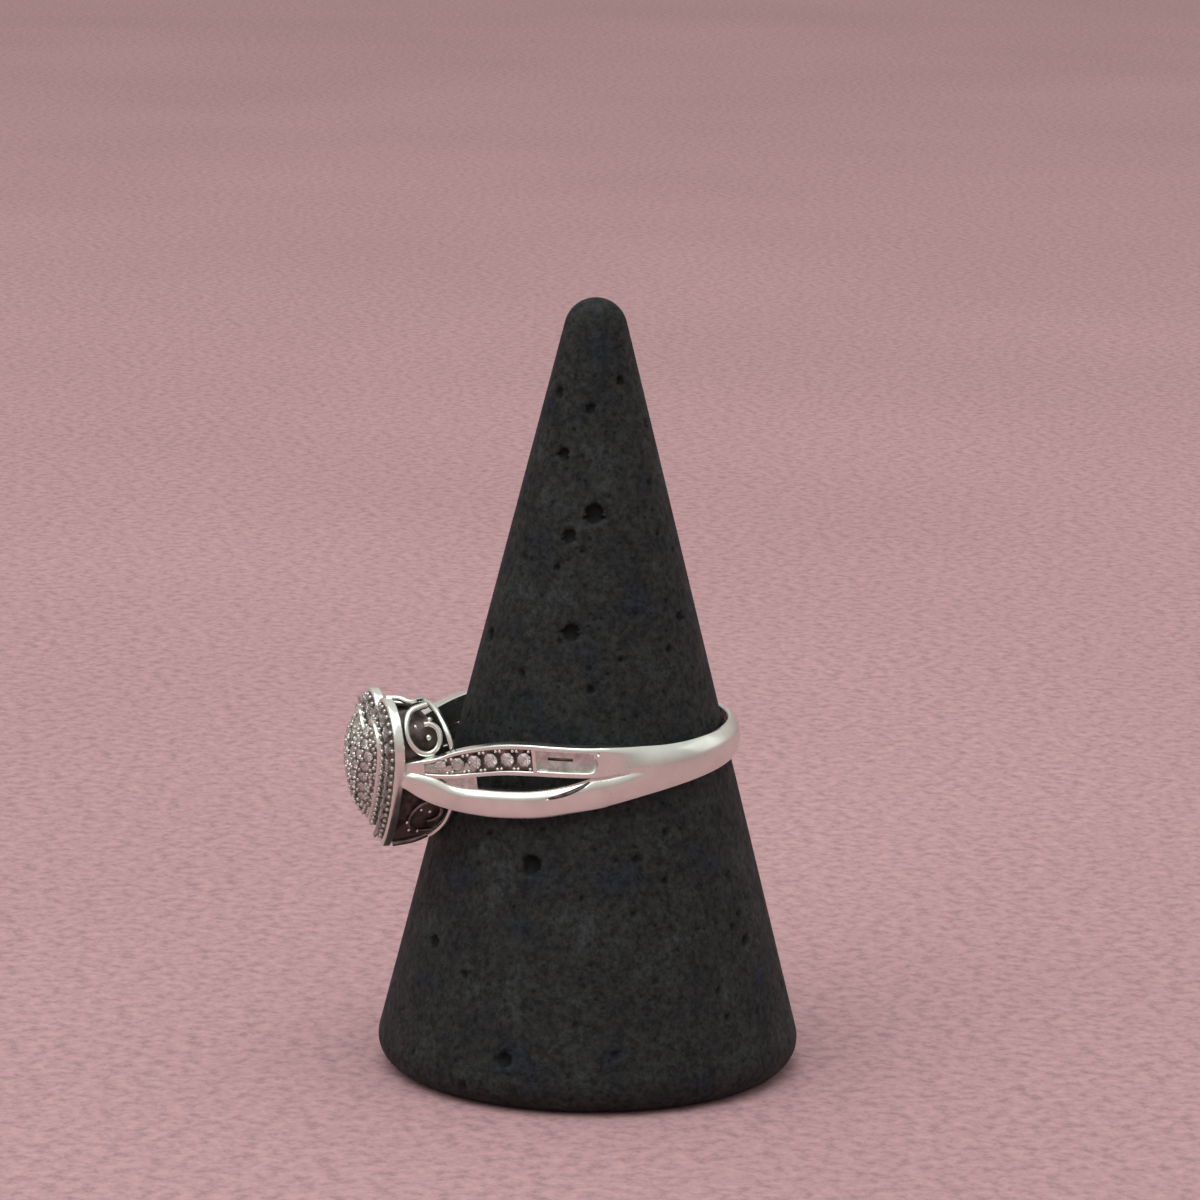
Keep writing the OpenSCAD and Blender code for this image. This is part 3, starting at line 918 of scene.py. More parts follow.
def colour_of(key, share=1.0):
    """One of the chosen colours, made darker or lighter"""
    return tuple(min(c * share, 1) for c in getattr(bpy.context.scene.ring_finishes, key))


def metal(name, grain, stops, rough_grain, rough, metallic=1.0):
    """A metal's colour and roughness, each from its own fine grain"""
    n = Nodes(name)
    n.feed("Base Color", n.ramp(n.noise(*grain), stops))
    n.set("Metallic", metallic)
    n.feed("Roughness", n.spread(n.noise(*rough_grain), *rough, 0.3, 0.7))
    return n


def polished_silver():
    """Bright silver with faint tarnish, soft polishing lines and tiny dents"""
    stops = [(0.35, colour_of("silver", 0.88)), (0.6, colour_of("silver"))]
    n = metal("polished_silver", (420, 3), stops, (700, 5), (0.18, 0.30))
    lines = n.noise(1500, 3, vector=n.stretched((1, 1, 7)))
    waves = n.bump(n.noise(330, 2), 0.16, 0.00008)
    n.feed("Normal", n.bump(lines, 0.06, 0.00002, waves))
    return n.material


def darkened_silver():
    """Silver darkened with painted shade, for the floors under the stones and other hollows"""
    stops = [(0.40, colour_of("recess")), (0.70, colour_of("recess", 2.2))]
    n = metal("darkened_silver", (1600, 4), stops, (2300, 4), (0.30, 0.48))
    n.feed("Normal", n.bump(n.noise(3000, 3), 0.25, 0.00003))
    return n.material


def dulled_silver():
    """Rougher silver that polishing doesn't reach, on the small grains, the webs and in the
    recesses; its colour is also darkened there with painted shade
    """
    stops = [(0.38, colour_of("silver", 0.55)), (0.62, colour_of("silver", 0.85))]
    n = metal("dulled_silver", (1500, 5, 0.6), stops, (2300, 4), (0.22, 0.36))
    n.feed("Normal", n.bump(n.noise(1900, 4), 0.3, 0.00003))
    return n.material


def blackened_silver():
    """Near black silver of painted shade, for the gallery's hollow"""
    stops = [(0.40, (0.045, 0.034, 0.030)), (0.62, (0.185, 0.145, 0.130))]
    n = metal("blackened_silver", (900, 5), stops, (2300, 4), (0.40, 0.60), metallic=0.6)
    n.feed("Normal", n.bump(n.noise(2200, 4), 0.4, 0.00005))
    return n.material


def cut_diamond():
    """Clear stone with bright facets and a trace of dust in its polish"""
    n = Nodes("cut_diamond")
    stops = [(0.35, (0.95, 0.91, 0.87)), (0.65, (1.0, 0.98, 0.94))]
    n.feed("Base Color", n.ramp(n.noise(700, 2), stops))
    n.set("Transmission Weight", 0.82)
    n.set("IOR", 2.1)
    n.feed("Roughness", n.spread(n.noise(1800, 3), 0.0, 0.05, 0.4, 0.75))
    return n.material


def pitted_lava():
    """Near black fine grained stone, mottled, with fine pits and open pores that are darkened with
    painted shade
    """
    n = Nodes("pitted_lava")
    base = Vector(colour_of("stone"))
    tints = [
        (0.34, base * 0.85 + Vector((0.000, 0.003, 0.009))),
        (0.44, base),
        (0.51, base * 1.05 + Vector((0.003, 0.002, 0.000))),
        (0.58, base * 1.10 + Vector((0.003, 0.005, 0.003))),
        (0.70, base * 2.0),
    ]
    tint = n.ramp(n.noise(330, 7, 0.68), tints)
    grainy = n.spread(n.noise(2300, 4, 0.75), 0.45, 1.6, 0.36, 0.64)
    # The fine pits darken toward their middles with painted shade, and also bump the surface
    pits = n.spread(n.cells(1300), 0.35, 1.0, 0.04, 0.22)
    # Painted shade in the open pores, darker the deeper they are
    pores = n.add("ShaderNodeAttribute", attribute_name="depth").outputs["Fac"]
    pore_shade = n.spread(pores, 1.0, 0.25, 0.02, 0.16)
    # The fine grain is the stone's own uneven tone; the pits and the open pores add painted shade
    for tone_and_shade in (grainy, pits, pore_shade):
        tint = n.times(tint, tone_and_shade)
    n.feed("Base Color", tint)
    n.feed("Roughness", n.spread(n.noise(900, 5, 0.6), 0.55, 0.85, 0.3, 0.7))
    n.set("Specular IOR Level", 0.16)
    coarse = n.bump(n.noise(750, 6, 0.65), 0.7, 0.0002)
    pitted = n.bump(pits, 0.6, 0.00010, coarse)
    n.feed("Normal", n.bump(n.noise(4200, 3, 0.7), 0.6, 0.00005, pitted))
    return n.material


def pale_floor():
    """Pale matt floor with a fine even grain"""
    n = Nodes("pale_floor")
    base = Vector(colour_of("floor"))
    warm = Vector((base[0] * 1.17, base[1] * 1.15, base[2] * 1.11))
    tint = n.ramp(n.noise(1000, 6, 0.72), [(0.36, base * 0.74), (0.50, base), (0.64, warm)])
    n.feed("Base Color", n.times(tint, n.spread(n.noise(14, 3), 0.96, 1.04, 0.3, 0.7)))
    n.set("Roughness", 0.9)
    n.set("Specular IOR Level", 0.15)
    n.feed("Normal", n.bump(n.noise(1300, 4, 0.6), 0.25, 0.0002))
    return n.material


def strand_angles(start, stop, step, extra=()):
    """Angles from start to stop in even steps, with extra ones among them"""
    steps = round((stop - start) / step)
    angles = [start + (stop - start) * i / steps for i in range(steps + 1)] + list(extra)
    return sorted(set(round(a, 3) for a in angles))


def bar_face(low, high, top, bottom):
    """Outer face of a bar from its lower to its upper edge: depth and height.

    Each edge is rounded over the width and fall given for it.
    """
    top_width, top_fall = top
    bottom_width, bottom_fall = bottom
    points = []
    for i in range(6):
        a = math.radians(18 * i)
        points.append((-bottom_fall * (1 - math.sin(a)), low + bottom_width * (1 - math.cos(a))))
    start, stop = low + bottom_width, high - top_width
    points += [(0.0, start + (stop - start) * i / 6) for i in range(1, 6)]
    for i in range(9):
        a = math.radians(11.25 * i)
        points.append((-top_fall * (1 - math.cos(a)), stop + top_width * math.sin(a)))
    return points


def backed(face, depth):
    """A bar's section: its outer face and a flat inner side with chamfered edges"""
    low, high = face[0], face[-1]
    cut_low = min(CHAMFER, depth + low[0] - 0.05)
    cut_high = min(CHAMFER, depth + high[0] - 0.05)
    return face + [
        (-depth + cut_high, high[1]),
        (-depth, high[1] - cut_high),
        (-depth, low[1] + cut_low),
        (-depth + cut_low, low[1]),
    ]


def stone_top_edge(angle):
    """Rounding of the stone strand's upper edge, which widens toward the back"""
    u = part_way(angle, CHANNEL_SPAN[1], BAND_START)
    (width, fall), (more_width, more_fall) = STONE_TOP
    return width + more_width * u, fall + more_fall * u


def plain_top(angle):
    """Fall of the plain strand's face at its upper edge, most beside the heart"""
    return PLAIN_TOP[0] + PLAIN_TOP[1] * (1 - eased(part_way(angle, *PLAIN_SHOULDER)))


def fold_at(angle):
    """Height of the plain strand's crease, its depth and its width"""
    u = part_way(angle, *FOLD_SPAN)
    edge = smooth(PLAIN, angle, 2) + smooth(PLAIN, angle, 3) / 2
    drop = FOLD_DROP[0] + (FOLD_DROP[1] - FOLD_DROP[0]) * u
    swell = math.sin(math.pi * u)
    return edge - drop, FOLD_DEPTH * swell, FOLD_WIDTH[0] + FOLD_WIDTH[1] * swell


def domed_face(low, high, top, bottom, power, fold=None, count=20):
    """Outer face of a domed bar from its lower to its upper edge: depth and height.

    Top and bottom are its falls at the edges, and a higher power keeps its middle flatter.
    A fold is the height, depth and width of a crease.
    """
    half, middle = (high - low) / 2, (high + low) / 2
    crease, deep, wide = fold or (middle, 0.0, 0.1)
    lower, upper = FOLD_SLOPES
    turns = [math.radians(-90 + 180 * i / (count - 1)) for i in range(count)]
    heights = [middle + half * math.sin(turn) for turn in turns]
    heights += [crease + d for d in (-wide - lower, -wide, 0.0, upper)]
    points = []
    for z in sorted(heights):
        v = min(abs(z - middle) / half, 1)
        fall = (top if z > middle else bottom) * v**power
        slopes = (z - crease + wide + lower) / lower, (crease + upper - z) / upper
        points.append((-fall - deep * max(min(*slopes, 1), 0), z))
    return points


def channel_reach(ring, angle):
    """Half width of the channel between its rails"""
    return min(ring.channel / MM, smooth(SET, angle, 3) - RAILS) / 2


class RING_OT_plain_strands(bpy.types.Operator):
    """Polished strands that sweep up over the shoulders to the heart's rim"""

    bl_idname = "ring.plain_strands"
    bl_label = "Plain strands"

    def execute(self, context):
        ring = context.scene.ring_sizes
        for side, place in halves(ring):
            rings = []
            for a in strand_angles(PLAIN_ENDS[side], STRAND_END, STEP, NOSE_ANGLES):
                middle, width = smooth(PLAIN, a, 2), smooth(PLAIN, a, 3)
                back = part_way(a, NOSE[1], NOSE[0])
                low = middle - width / 2
                high = middle + width / 2 - NOSE[2] * (1 - math.sqrt(1 - back**2))
                outer = domed_face(low, high, plain_top(a), PLAIN_BOTTOM, PLAIN_POWER, fold_at(a))
                section = backed(outer, ring.depth / MM)
                rings.append([on_strand(PLAIN, a, d, z) for d, z in section])
            piece = dress(skin(f"plain_strand_{side}", moved(rings, place)), polished_silver)
            self.darken_fold(piece, place)
        return {"FINISHED"}

    def darken_fold(self, piece, place):
        """Gives the crease below the upper edge painted shade with the darkened silver"""
        piece.data.materials.append(finish_of(darkened_silver))
        for face, a, below, z in faces_of(piece, place, PLAIN):
            crease, deep, wide = fold_at(a)
            if deep > FOLD_SHADE and below < 0.6 and -wide - 0.03 < z - crease < 0.02:
                face.material_index = 1


class RING_OT_stone_strands(bpy.types.Operator):
    """Channelled strands with a row of seats, an empty recess and a slit in it"""

    bl_idname = "ring.stone_strands"
    bl_label = "Stone strands"

    def section(self, ring, a):
        """Section of the strand: its rounded edges, the channel or recess, and its back"""
        half = smooth(SET, a, 3) / 2
        floor = ring.groove / MM
        reach = channel_reach(ring, a)
        run = math.degrees((reach - RECESS_MARGIN) / smooth(SET, a, 1))
        if RECESS_SPAN[0] <= a <= RECESS_SPAN[1] + run:
            beyond = max(a - RECESS_SPAN[1], 0) / run
            reach = (reach - RECESS_MARGIN) * math.sqrt(max(1 - beyond**2, 0.0004))
        elif not CHANNEL_SPAN[0] <= a <= CHANNEL_SPAN[1]:
            floor = 0.0
        edge_width, edge_fall = stone_top_edge(a)
        if floor:
            edge_width = min(edge_width, half - reach - 0.05)
        face = bar_face(-half, half, (edge_width, edge_fall), STONE_BOTTOM)
        low, high = face[:6], face[-9:]
        lip = min(LIP[0], floor)
        hollow = min(HOLLOW, 0.25 * floor)
        deep = -hollow - SLIT_DEPTH
        if SLIT_SPAN[0] <= a <= SLIT_SPAN[1]:
            slot = [(-0.02, -hollow), (0.0, deep), (0.15, deep), (0.17, -hollow)]
        else:
            slot = [(-0.5 * reach, -0.8 * hollow), (-0.1 * reach, -hollow),
                    (0.1 * reach, -hollow), (0.5 * reach, -0.8 * hollow)]
        channel = [(0, -reach - LIP[1]), (-lip, -reach), (-floor, -reach + 0.01)]
        channel += [(-floor + drop, across) for across, drop in slot]
        channel += [(-floor, reach - 0.01), (-lip, reach)]
        channel += [(0, min(reach + LIP[1], high[0][1] - 0.005))]
        section = backed(low + channel + high, ring.depth / MM)
        return [on_strand(SET, a, d, smooth(SET, a, 2) + z) for d, z in section]

    def execute(self, context):
        ring = context.scene.ring_sizes
        end = RECESS_SPAN[1]
        tail = math.degrees((ring.channel / MM / 2 - RECESS_MARGIN) / smooth(SET, end, 1))
        steps = CHANNEL_STEPS + [end + tail * s for s in RECESS_STEPS]
        for side, place in halves(ring):
            angles = strand_angles(STONE_ENDS[side], STRAND_END, STEP, steps)
            rings = moved([self.section(ring, a) for a in angles], place)
            piece = skin(f"stone_strand_{side}", rings)
            cutters = []
            for a, share, lift in CHANNEL:
                point = on_strand(SET, a, -CHANNEL_SINK, smooth(SET, a, 2) + lift)
                seat = place @ facing(point, outward(SET, a))
                cutters.append(copies("seat", seat_cutter(CHANNEL_STONE * share), [seat]))
            cut(piece, joined("seats", cutters))
            dress(piece, polished_silver)
            self.mark_floor(piece, ring.groove / MM, place)
        return {"FINISHED"}

    def mark_floor(self, piece, groove, place):
        """Gives painted shade to the channel's floor, seats and slit with the darkened silver, and
        to the recess with the dull silver
        """
        piece.data.materials.append(finish_of(darkened_silver))
        piece.data.materials.append(finish_of(dulled_silver))
        for face, a, below, z in faces_of(piece, place, SET):
            sunk = below > SUNK_SHARE * groove
            channel_shade = CHANNEL_SPAN[0] < a < CHANNEL_SPAN[1] and sunk
            slit_shade = SLIT_SPAN[0] < a < SLIT_SPAN[1] and below > groove + SLIT_SHADE
            recess_shade = RECESS_SPAN[0] < a < RECESS_SPAN[1] + RECESS_TAIL and sunk
            # Painted shade on the sunk faces, within reach of the strand's middle
            if abs(z - smooth(SET, a, 2)) < SHADE_REACH[0] and below < SHADE_REACH[1]:
                face.material_index = 1 if channel_shade or slit_shade else 2 if recess_shade else 0


class RING_OT_webs(bpy.types.Operator):
    """Recessed plates that join the two strands beside the head"""

    bl_idname = "ring.webs"
    bl_label = "Webs"

    def execute(self, context):
        for side, place in halves(context.scene.ring_sizes):
            end = WEB_SPAN[1] if side == "near" else FAR_WEB_END
            rings = []
            for a in strand_angles(WEB_SPAN[0], end, 0.5):
                low, high = smooth(PLAIN, a, 2), smooth(SET, a, 2)
                front = -WEB_DEPTHS[0] - WEB_TAIL[0] * math.sqrt(max(a - end + WEB_TAIL[1], 0))
                back = -WEB_DEPTHS[1]
                section = [(front, high), (front + WEB_CROWN, (low + high) / 2), (front, low)]
                section += [(back, low), (back, high)]
                rings.append([on_strand(SET, a, d, z) for d, z in section])
            # The webs get the dull silver, darkened with painted shade
            dress(skin(f"strand_web_{side}", moved(rings, place)), dulled_silver)
        return {"FINISHED"}


class RING_OT_back_band(bpy.types.Operator):
    """Plain band round the back of the finger"""

    bl_idname = "ring.back_band"
    bl_label = "Back band"

    def execute(self, context):
        ring = context.scene.ring_sizes
        rings = []
        for a in strand_angles(BAND_START, 360 - BAND_START, 1.0):
            b = min(a, 360 - a)
            r, middle, width = (smooth(BACK, b, column) for column in (1, 2, 3))
            low, high = middle - width / 2, middle + width / 2
            whole = eased(part_way(b, STRAND_END, BAND_WHOLE))
            apart = self.two_strands(low, high)
            if a > 180:
                apart = [(d, -z) for d, z in reversed(apart)]
            single = domed_face(low, high, *BAND_FALLS, BAND_POWER, count=len(apart) - 4)
            face = [
                (d + (e - d) * whole, z + (y - z) * whole)
                for (d, z), (e, y) in zip(apart, single)]
            t = math.radians(a)
            section = [(r + d, z) for d, z in backed(face, r - ring.finger / MM / 2 - 0.01)]
            rings.append([Vector((out * math.cos(t), out * math.sin(t), z)) for out, z in section])
        dress(skin("back_band", moved(rings, ring_place(ring))), polished_silver)
        return {"FINISHED"}

    def two_strands(self, low, high):
        """Outer face where the two strands run side by side, with the valley between them"""
        plain = domed_face(low, 0.0, plain_top(BAND_START), PLAIN_BOTTOM, PLAIN_POWER)
        stone = bar_face(0.01, high, stone_top_edge(BAND_START), STONE_BOTTOM)
        return plain + stone


def round_the_heart(name, heart, place, profile):
    """A closed profile of inset and height, led round the heart's outline"""
    rings = []
    for inset, height in profile:
        rings.append([Vector((height, x, y)) for x, y in heart_outline(heart, inset)])
    return skin(name, moved(rings, place), loop=True)


def halo_height(heart, inset):
    """Height of the stone row's floor at an inset from the outline"""
    return heart.rim / MM - 0.1 + HALO_SLOPE * (inset - heart.rim_width / MM)


def halo_places(heart, count, inset, lift, start=0.0):
    """Matrices for things in the row round the heart"""
    outline = heart_outline(heart, inset, cleft_steps=16, lobe_steps=60, flank_steps=44)
    height = halo_height(heart, inset) + lift
    return [
        facing(Vector((height, p.x, p.y)), Vector((1, HALO_TILT * d.x, HALO_TILT * d.y)))
        for p, d in along(outline, count, start)]


class RING_OT_heart_rim(bpy.types.Operator):
    """Polished rim of the heart and the ridge round its dome"""

    bl_idname = "ring.heart_rim"
    bl_label = "Heart rim and ridge"

    def execute(self, context):
        ring, heart = context.scene.ring_sizes, context.scene.heart_sizes
        place = head_place(ring, heart)
        h, w = heart.rim / MM, heart.rim_width / MM
        rim = [(0.06, 0), (0.0, 0.06), (0.0, 0.5 * h), (0.0, h - 0.14), (0.025, h - 0.06),
               (0.08, h - 0.01), (0.14, h), (w - 0.07, h - 0.01), (w - 0.01, h - 0.06),
               (w, h - 0.14), (w, 0.2), (w, 0.0)]
        dress(round_the_heart("heart_rim", heart, place, rim), polished_silver)
        outer = w + heart.row / MM
        inner = outer + heart.ridge_width / MM
        top = heart.ridge / MM
        ridge = [(outer, 0.45), (outer, top - 0.12), (outer + 0.03, top - 0.03),
                 (outer + 0.08, top), (inner - 0.08, top), (inner - 0.03, top - 0.03),
                 (inner, top - 0.1), (inner, 0.45)]
        dress(round_the_heart("heart_ridge", heart, place, ridge), polished_silver)
        return {"FINISHED"}


class RING_OT_stone_row(bpy.types.Operator):
    """Row round the heart: its floor with seats, and the grains that hold the stones"""

    bl_idname = "ring.stone_row"
    bl_label = "Stone row round the heart"

    def execute(self, context):
        ring, heart = context.scene.ring_sizes, context.scene.heart_sizes
        place = head_place(ring, heart)
        rim, ridge = heart.rim_width / MM, (heart.rim_width + heart.row) / MM
        low, high = rim - HALO_OVERLAP, ridge + HALO_OVERLAP
        middle = (low + high) / 2
        floor = [(low, 0.02)]
        floor += [(inset, halo_height(heart, inset)) for inset in (low, middle, high)]
        floor += [(high, 0.3), (middle, 0.16)]
        piece = round_the_heart("halo_floor", heart, place, floor)
        seats = halo_places(heart, HALO_COUNT, (heart.rim_width + heart.row / 2) / MM + 0.01, 0.01)
        cut(piece, copies("seats", seat_cutter(HALO_STONE), [place @ s for s in seats]))
        # The row's floor gets painted shade with the darkened silver, and its grains the dull
        # silver, darkened with painted shade too
        dress(piece, darkened_silver)
        grains = []
        for inset in (rim + HALO_INSETS[0], ridge + HALO_INSETS[1]):
            grains += halo_places(heart, 2 * HALO_COUNT, inset, HALO_LIFT, 0.25)
        beads = copies("halo_grains", grain(HALO_GRAIN), [place @ g for g in grains])
        dress(beads, dulled_silver, angle=80)
        return {"FINISHED"}


class RING_OT_dome(bpy.types.Operator):
    """Dome of the heart: its shell with seats, and the grains between the stones"""

    bl_idname = "ring.dome"
    bl_label = "Dome of the heart"

    def execute(self, context):
        ring, heart = context.scene.ring_sizes, context.scene.heart_sizes
        place = head_place(ring, heart)
        dome = Dome(heart)
        outline = [Vector(p) for p in heart_outline(heart, dome.inset - 0.03)]
        mid = Vector(HEART_MID)
        rings = []
        for k, drop in [(k, 0) for k in DOME_FRONT] + [(k, DOME_SHELL) for k in DOME_BACK]:
            height = dome.foot - drop + dome.rise * max(1 - k * k, 0) ** DOME_POWER
            rings.append([Vector((height, *(mid + k * (p - mid)))) for p in outline])
        piece = skin("heart_dome", moved(rings, place))
        seats = [place @ dome.place(p) for p in dome.spots()]
        cut(piece, copies("seats", seat_cutter(DOME_STONE), seats))
        # The shell gets painted shade with the darkened silver, and the grains the dull silver,
        # darkened with painted shade too
        dress(piece, darkened_silver)
        places = [place @ dome.place(p, DOME_LIFT) for p in dome.between() + dome.border()]
        dress(copies("dome_grains", grain(DOME_GRAIN), places), dulled_silver, angle=80)
        return {"FINISHED"}


class RING_OT_channel_grains(bpy.types.Operator):
    """Grains that hold the stones of the strands, four between each two stones"""

    bl_idname = "ring.channel_grains"
    bl_label = "Grains of the strands"

    def execute(self, context):
        ring = context.scene.ring_sizes
        angles = [row[0] for row in CHANNEL]
        gaps = [(p + q) / 2 for p, q in zip(angles, angles[1:])] + [angles[-1] + LAST_GRAINS]
        for side, place in halves(ring):
            places = []
            for a in gaps:
                height = channel_reach(ring, a) - CHANNEL_MARGIN
                step = math.degrees(CHANNEL_HALF_STEP / smooth(SET, a, 1))
                for across in (-1, 1):
                    for b in (a - step, a + step):
                        z = smooth(SET, b, 2) + across * height
                        point = on_strand(SET, b, -GRAIN_SINK, z)
                        places.append(place @ Matrix.Translation(point))
            beads = copies(f"channel_grains_{side}", grain(CHANNEL_GRAIN), places)
            dress(beads, polished_silver, angle=80)
        return {"FINISHED"}


def flank_half(heart, height, inset=0.5):
    """Half width of the gallery at a height"""
    points = sorted((p for p in heart_half(heart, inset) if p[0] > 1.2), key=lambda p: p[1])
    lowest = [(0.0, -heart.point / MM + inset * 1.3)]
    ys = [p[1] for p in lowest + points]
    xs = [p[0] for p in lowest + points]
    widest = int(np.argmax(xs))
    top = [i for i in range(len(xs)) if i <= widest or xs[i] > 2.2]
    return float(np.interp(height, [ys[i] for i in top], [xs[i] for i in top]))


def mirrored(points, side, sag=0.0):
    """The near side's points, or with side -1 the far side's, sagging with their height"""
    return [(x, side * y, z - sag * (z - SCROLL_FOOT)) for x, y, z in points]


class RING_OT_gallery(bpy.types.Operator):
    """Open gallery under the heart: finger rail, scrolls and roof wires, with lower scrolls and a
    wall behind them that are dark with painted shade
    """

    bl_idname = "ring.gallery"
    bl_label = "Gallery"

    def execute(self, context):
        ring, heart = context.scene.ring_sizes, context.scene.heart_sizes
        place = ring_place(ring)
        wire = ring.wire * WIRE_SHARE
        far = [(x, -y, z - (FAR_SAG if z > RAIL_TOP else 0)) for x, y, z in RAIL[-2:0:-1]]
        parts = [bent_wire("rail", RAIL + far, place, wire * RAIL_WIRE, closed=True)]
        for side in (-1, 1):
            sag = 0 if side == 1 else FAR_SCROLL_SAG
            parts.append(bent_wire("scroll", mirrored(SCROLL, side, sag), place, wire, taper=0.85))
            points = mirrored([bead[:3] for bead in SCROLL_BEADS], side, sag)
            parts += [self.bead(p, bead[3], place) for p, bead in zip(points, SCROLL_BEADS)]
            parts.append(bent_wire("post", mirrored(SCROLL_POST, side), place, wire * POST_WIRE))
            parts.append(bent_wire("roof", ROOFS[side], place, wire * ROOF_WIRE))
            for x, z in LOWER_BEADS:
                point = (x, side * flank_half(heart, z, 0.05), z)
                parts.append(self.bead(point, LOWER_BEAD, place))
        dress(joined("gallery", parts), polished_silver, angle=60)
        # The lower scrolls and the point's post are darkened with painted shade
        low = []
        heights = [(x, LOWER_SHARE * z) for x, y, z in SCROLL]
        for side in (-1, 1):
            turned = [(x, side * flank_half(heart, z, 0.1), z) for x, z in heights]
            low.append(bent_wire("scroll", turned, place, wire * LOWER_WIRE))
        low.append(bent_wire("post", POINT_POST, place, wire * RAIL_WIRE))
        dress(joined("gallery_lower", low), darkened_silver, angle=60)
        # The wall behind the openwork is near black with painted shade
        dress(self.wall(heart, place), blackened_silver, angle=60)
        return {"FINISHED"}

    def bead(self, point, radius, place):
        """A bead at a point of the gallery"""
        piece = grain(radius)
        piece.data.transform(place @ Matrix.Translation(Vector(point)))
        return piece

    def wall(self, heart, place):
        """Dark sheet of painted shade behind the wires, from the finger rail to the rim"""
        steps = {"cleft_steps": 3, "lobe_steps": 20, "flank_steps": 16}
        rings = []
        for thick, end in ((0.0, 0), (0.0, 1), (WALL_THICK, 1), (WALL_THICK, 0)):
            upper, lower = (heart_outline(heart, inset + thick, **steps) for inset in WALL_INSET)
            ring = []
            for p, q in zip(upper, lower):
                u = part_way(p[1], *WALL_TURN)
                y, z = Vector(p) * (1 - u) + Vector(q) * u
                low = WALL_START[0] + WALL_START[1] * (abs(z) / WALL_START[2]) ** 3
                high = heart.plane / MM - WALL_LEAN * z + WALL_LIFT
                ring.append(Vector((low + (high - low) * end, y, z)))
            rings.append(ring)
        return skin("gallery_wall", moved(rings, place), loop=True)


class RING_OT_stones(bpy.types.Operator):
    """Gives every stone its cut and clear finish"""

    bl_idname = "ring.stones"
    bl_label = "Stones"

    def execute(self, context):
        for name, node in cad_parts.items():
            if "stone" in name:
                node.data.materials.clear()
                node.data.materials.append(finish_of(cut_diamond))
        return {"FINISHED"}


class RING_OT_cone(bpy.types.Operator):
    """Lava stone cone with a rounded foot and tip and open pores"""

    bl_idname = "ring.cone"
    bl_label = "Cone"

    # Faces round the cone and up its straight side
    columns = 300
    rows = 270

    def profile(self, cone):
        """Radius and height along the cone's side, from foot to tip, in mm"""
        wide, tall = CONE_HIGH[0] / MM, CONE_HIGH[2] / MM
        foot, tip = cone.foot_round / MM, cone.tip_round / MM
        lean = cone.angle
        points = arc((wide - foot, foot), foot, math.radians(-90), lean, 15, last=1)
        start = points[-1]
        end = (tip * math.cos(lean), tall - tip + tip * math.sin(lean))
        for i in range(1, self.rows):
            u = i / self.rows
            points.append((start[0] + (end[0] - start[0]) * u, start[1] + (end[1] - start[1]) * u))
        return np.array(points + arc((0, tall - tip), tip, lean, math.radians(89), 12, last=1))

    def execute(self, context):
        cone = context.scene.cone_sizes
        side = self.profile(cone)
        turn = np.linspace(0, 2 * math.pi, self.columns, endpoint=False)
        r, z = side[:, :1], side[:, 1:]
        grid = np.stack([r * np.cos(turn), r * np.sin(turn), z + 0 * turn], axis=2)
        dent = self.dents(grid, cone, side)
        level = 0 * z
        inward = np.stack([level - np.cos(turn), level - np.sin(turn), level + 0 * turn], axis=2)
        # The pores' depths also darken the cone's colour with painted shade
        piece = skin("lava_cone", (grid + inward * dent[:, :, None]) * MM, depths=dent)
        dress(piece, pitted_lava, 50, "cone_stand")
        return {"FINISHED"}

    def dents(self, grid, cone, side):
        """Depth of the pores at each point of the cone's side"""
        rng = random.Random(PORE_SEED)
        pores = [(math.radians(a), z, s) for a, z, s in PORES]
        for _ in range(cone.pores):
            z = PORE_FOOT + PORE_RISE * (1 - math.sqrt(rng.random()))
            pores.append((rng.uniform(0, 2 * math.pi), z, rng.choice(PORE_SIZES)))
        dent = np.zeros(grid.shape[:2])
        angle = np.arctan2(grid[..., 1], grid[..., 0])
        for turn, height, size in pores:
            r = np.interp(height, side[:, 1], side[:, 0])
            middle = np.array([r * math.cos(turn), r * math.sin(turn), height])
            rows = np.where(np.abs(grid[:, 0, 2] - height) < 2.2 * size)[0]
            if not len(rows):
                continue
            block = slice(rows[0], rows[-1] + 1)
            phase = rng.uniform(0, 6)
            off = grid[block] - middle
            around = np.arctan2(off[..., 2], angle[block] - turn)
            wave = 1 + PORE_WAVE * np.sin(3 * around + phase)
            distance = np.linalg.norm(off, axis=2) / (size * wave)
            pit = np.clip(1 - distance**2, 0, 1) ** PORE_POWER * size * PORE_DEPTH
            dent[block] = np.maximum(dent[block], pit)
        return dent


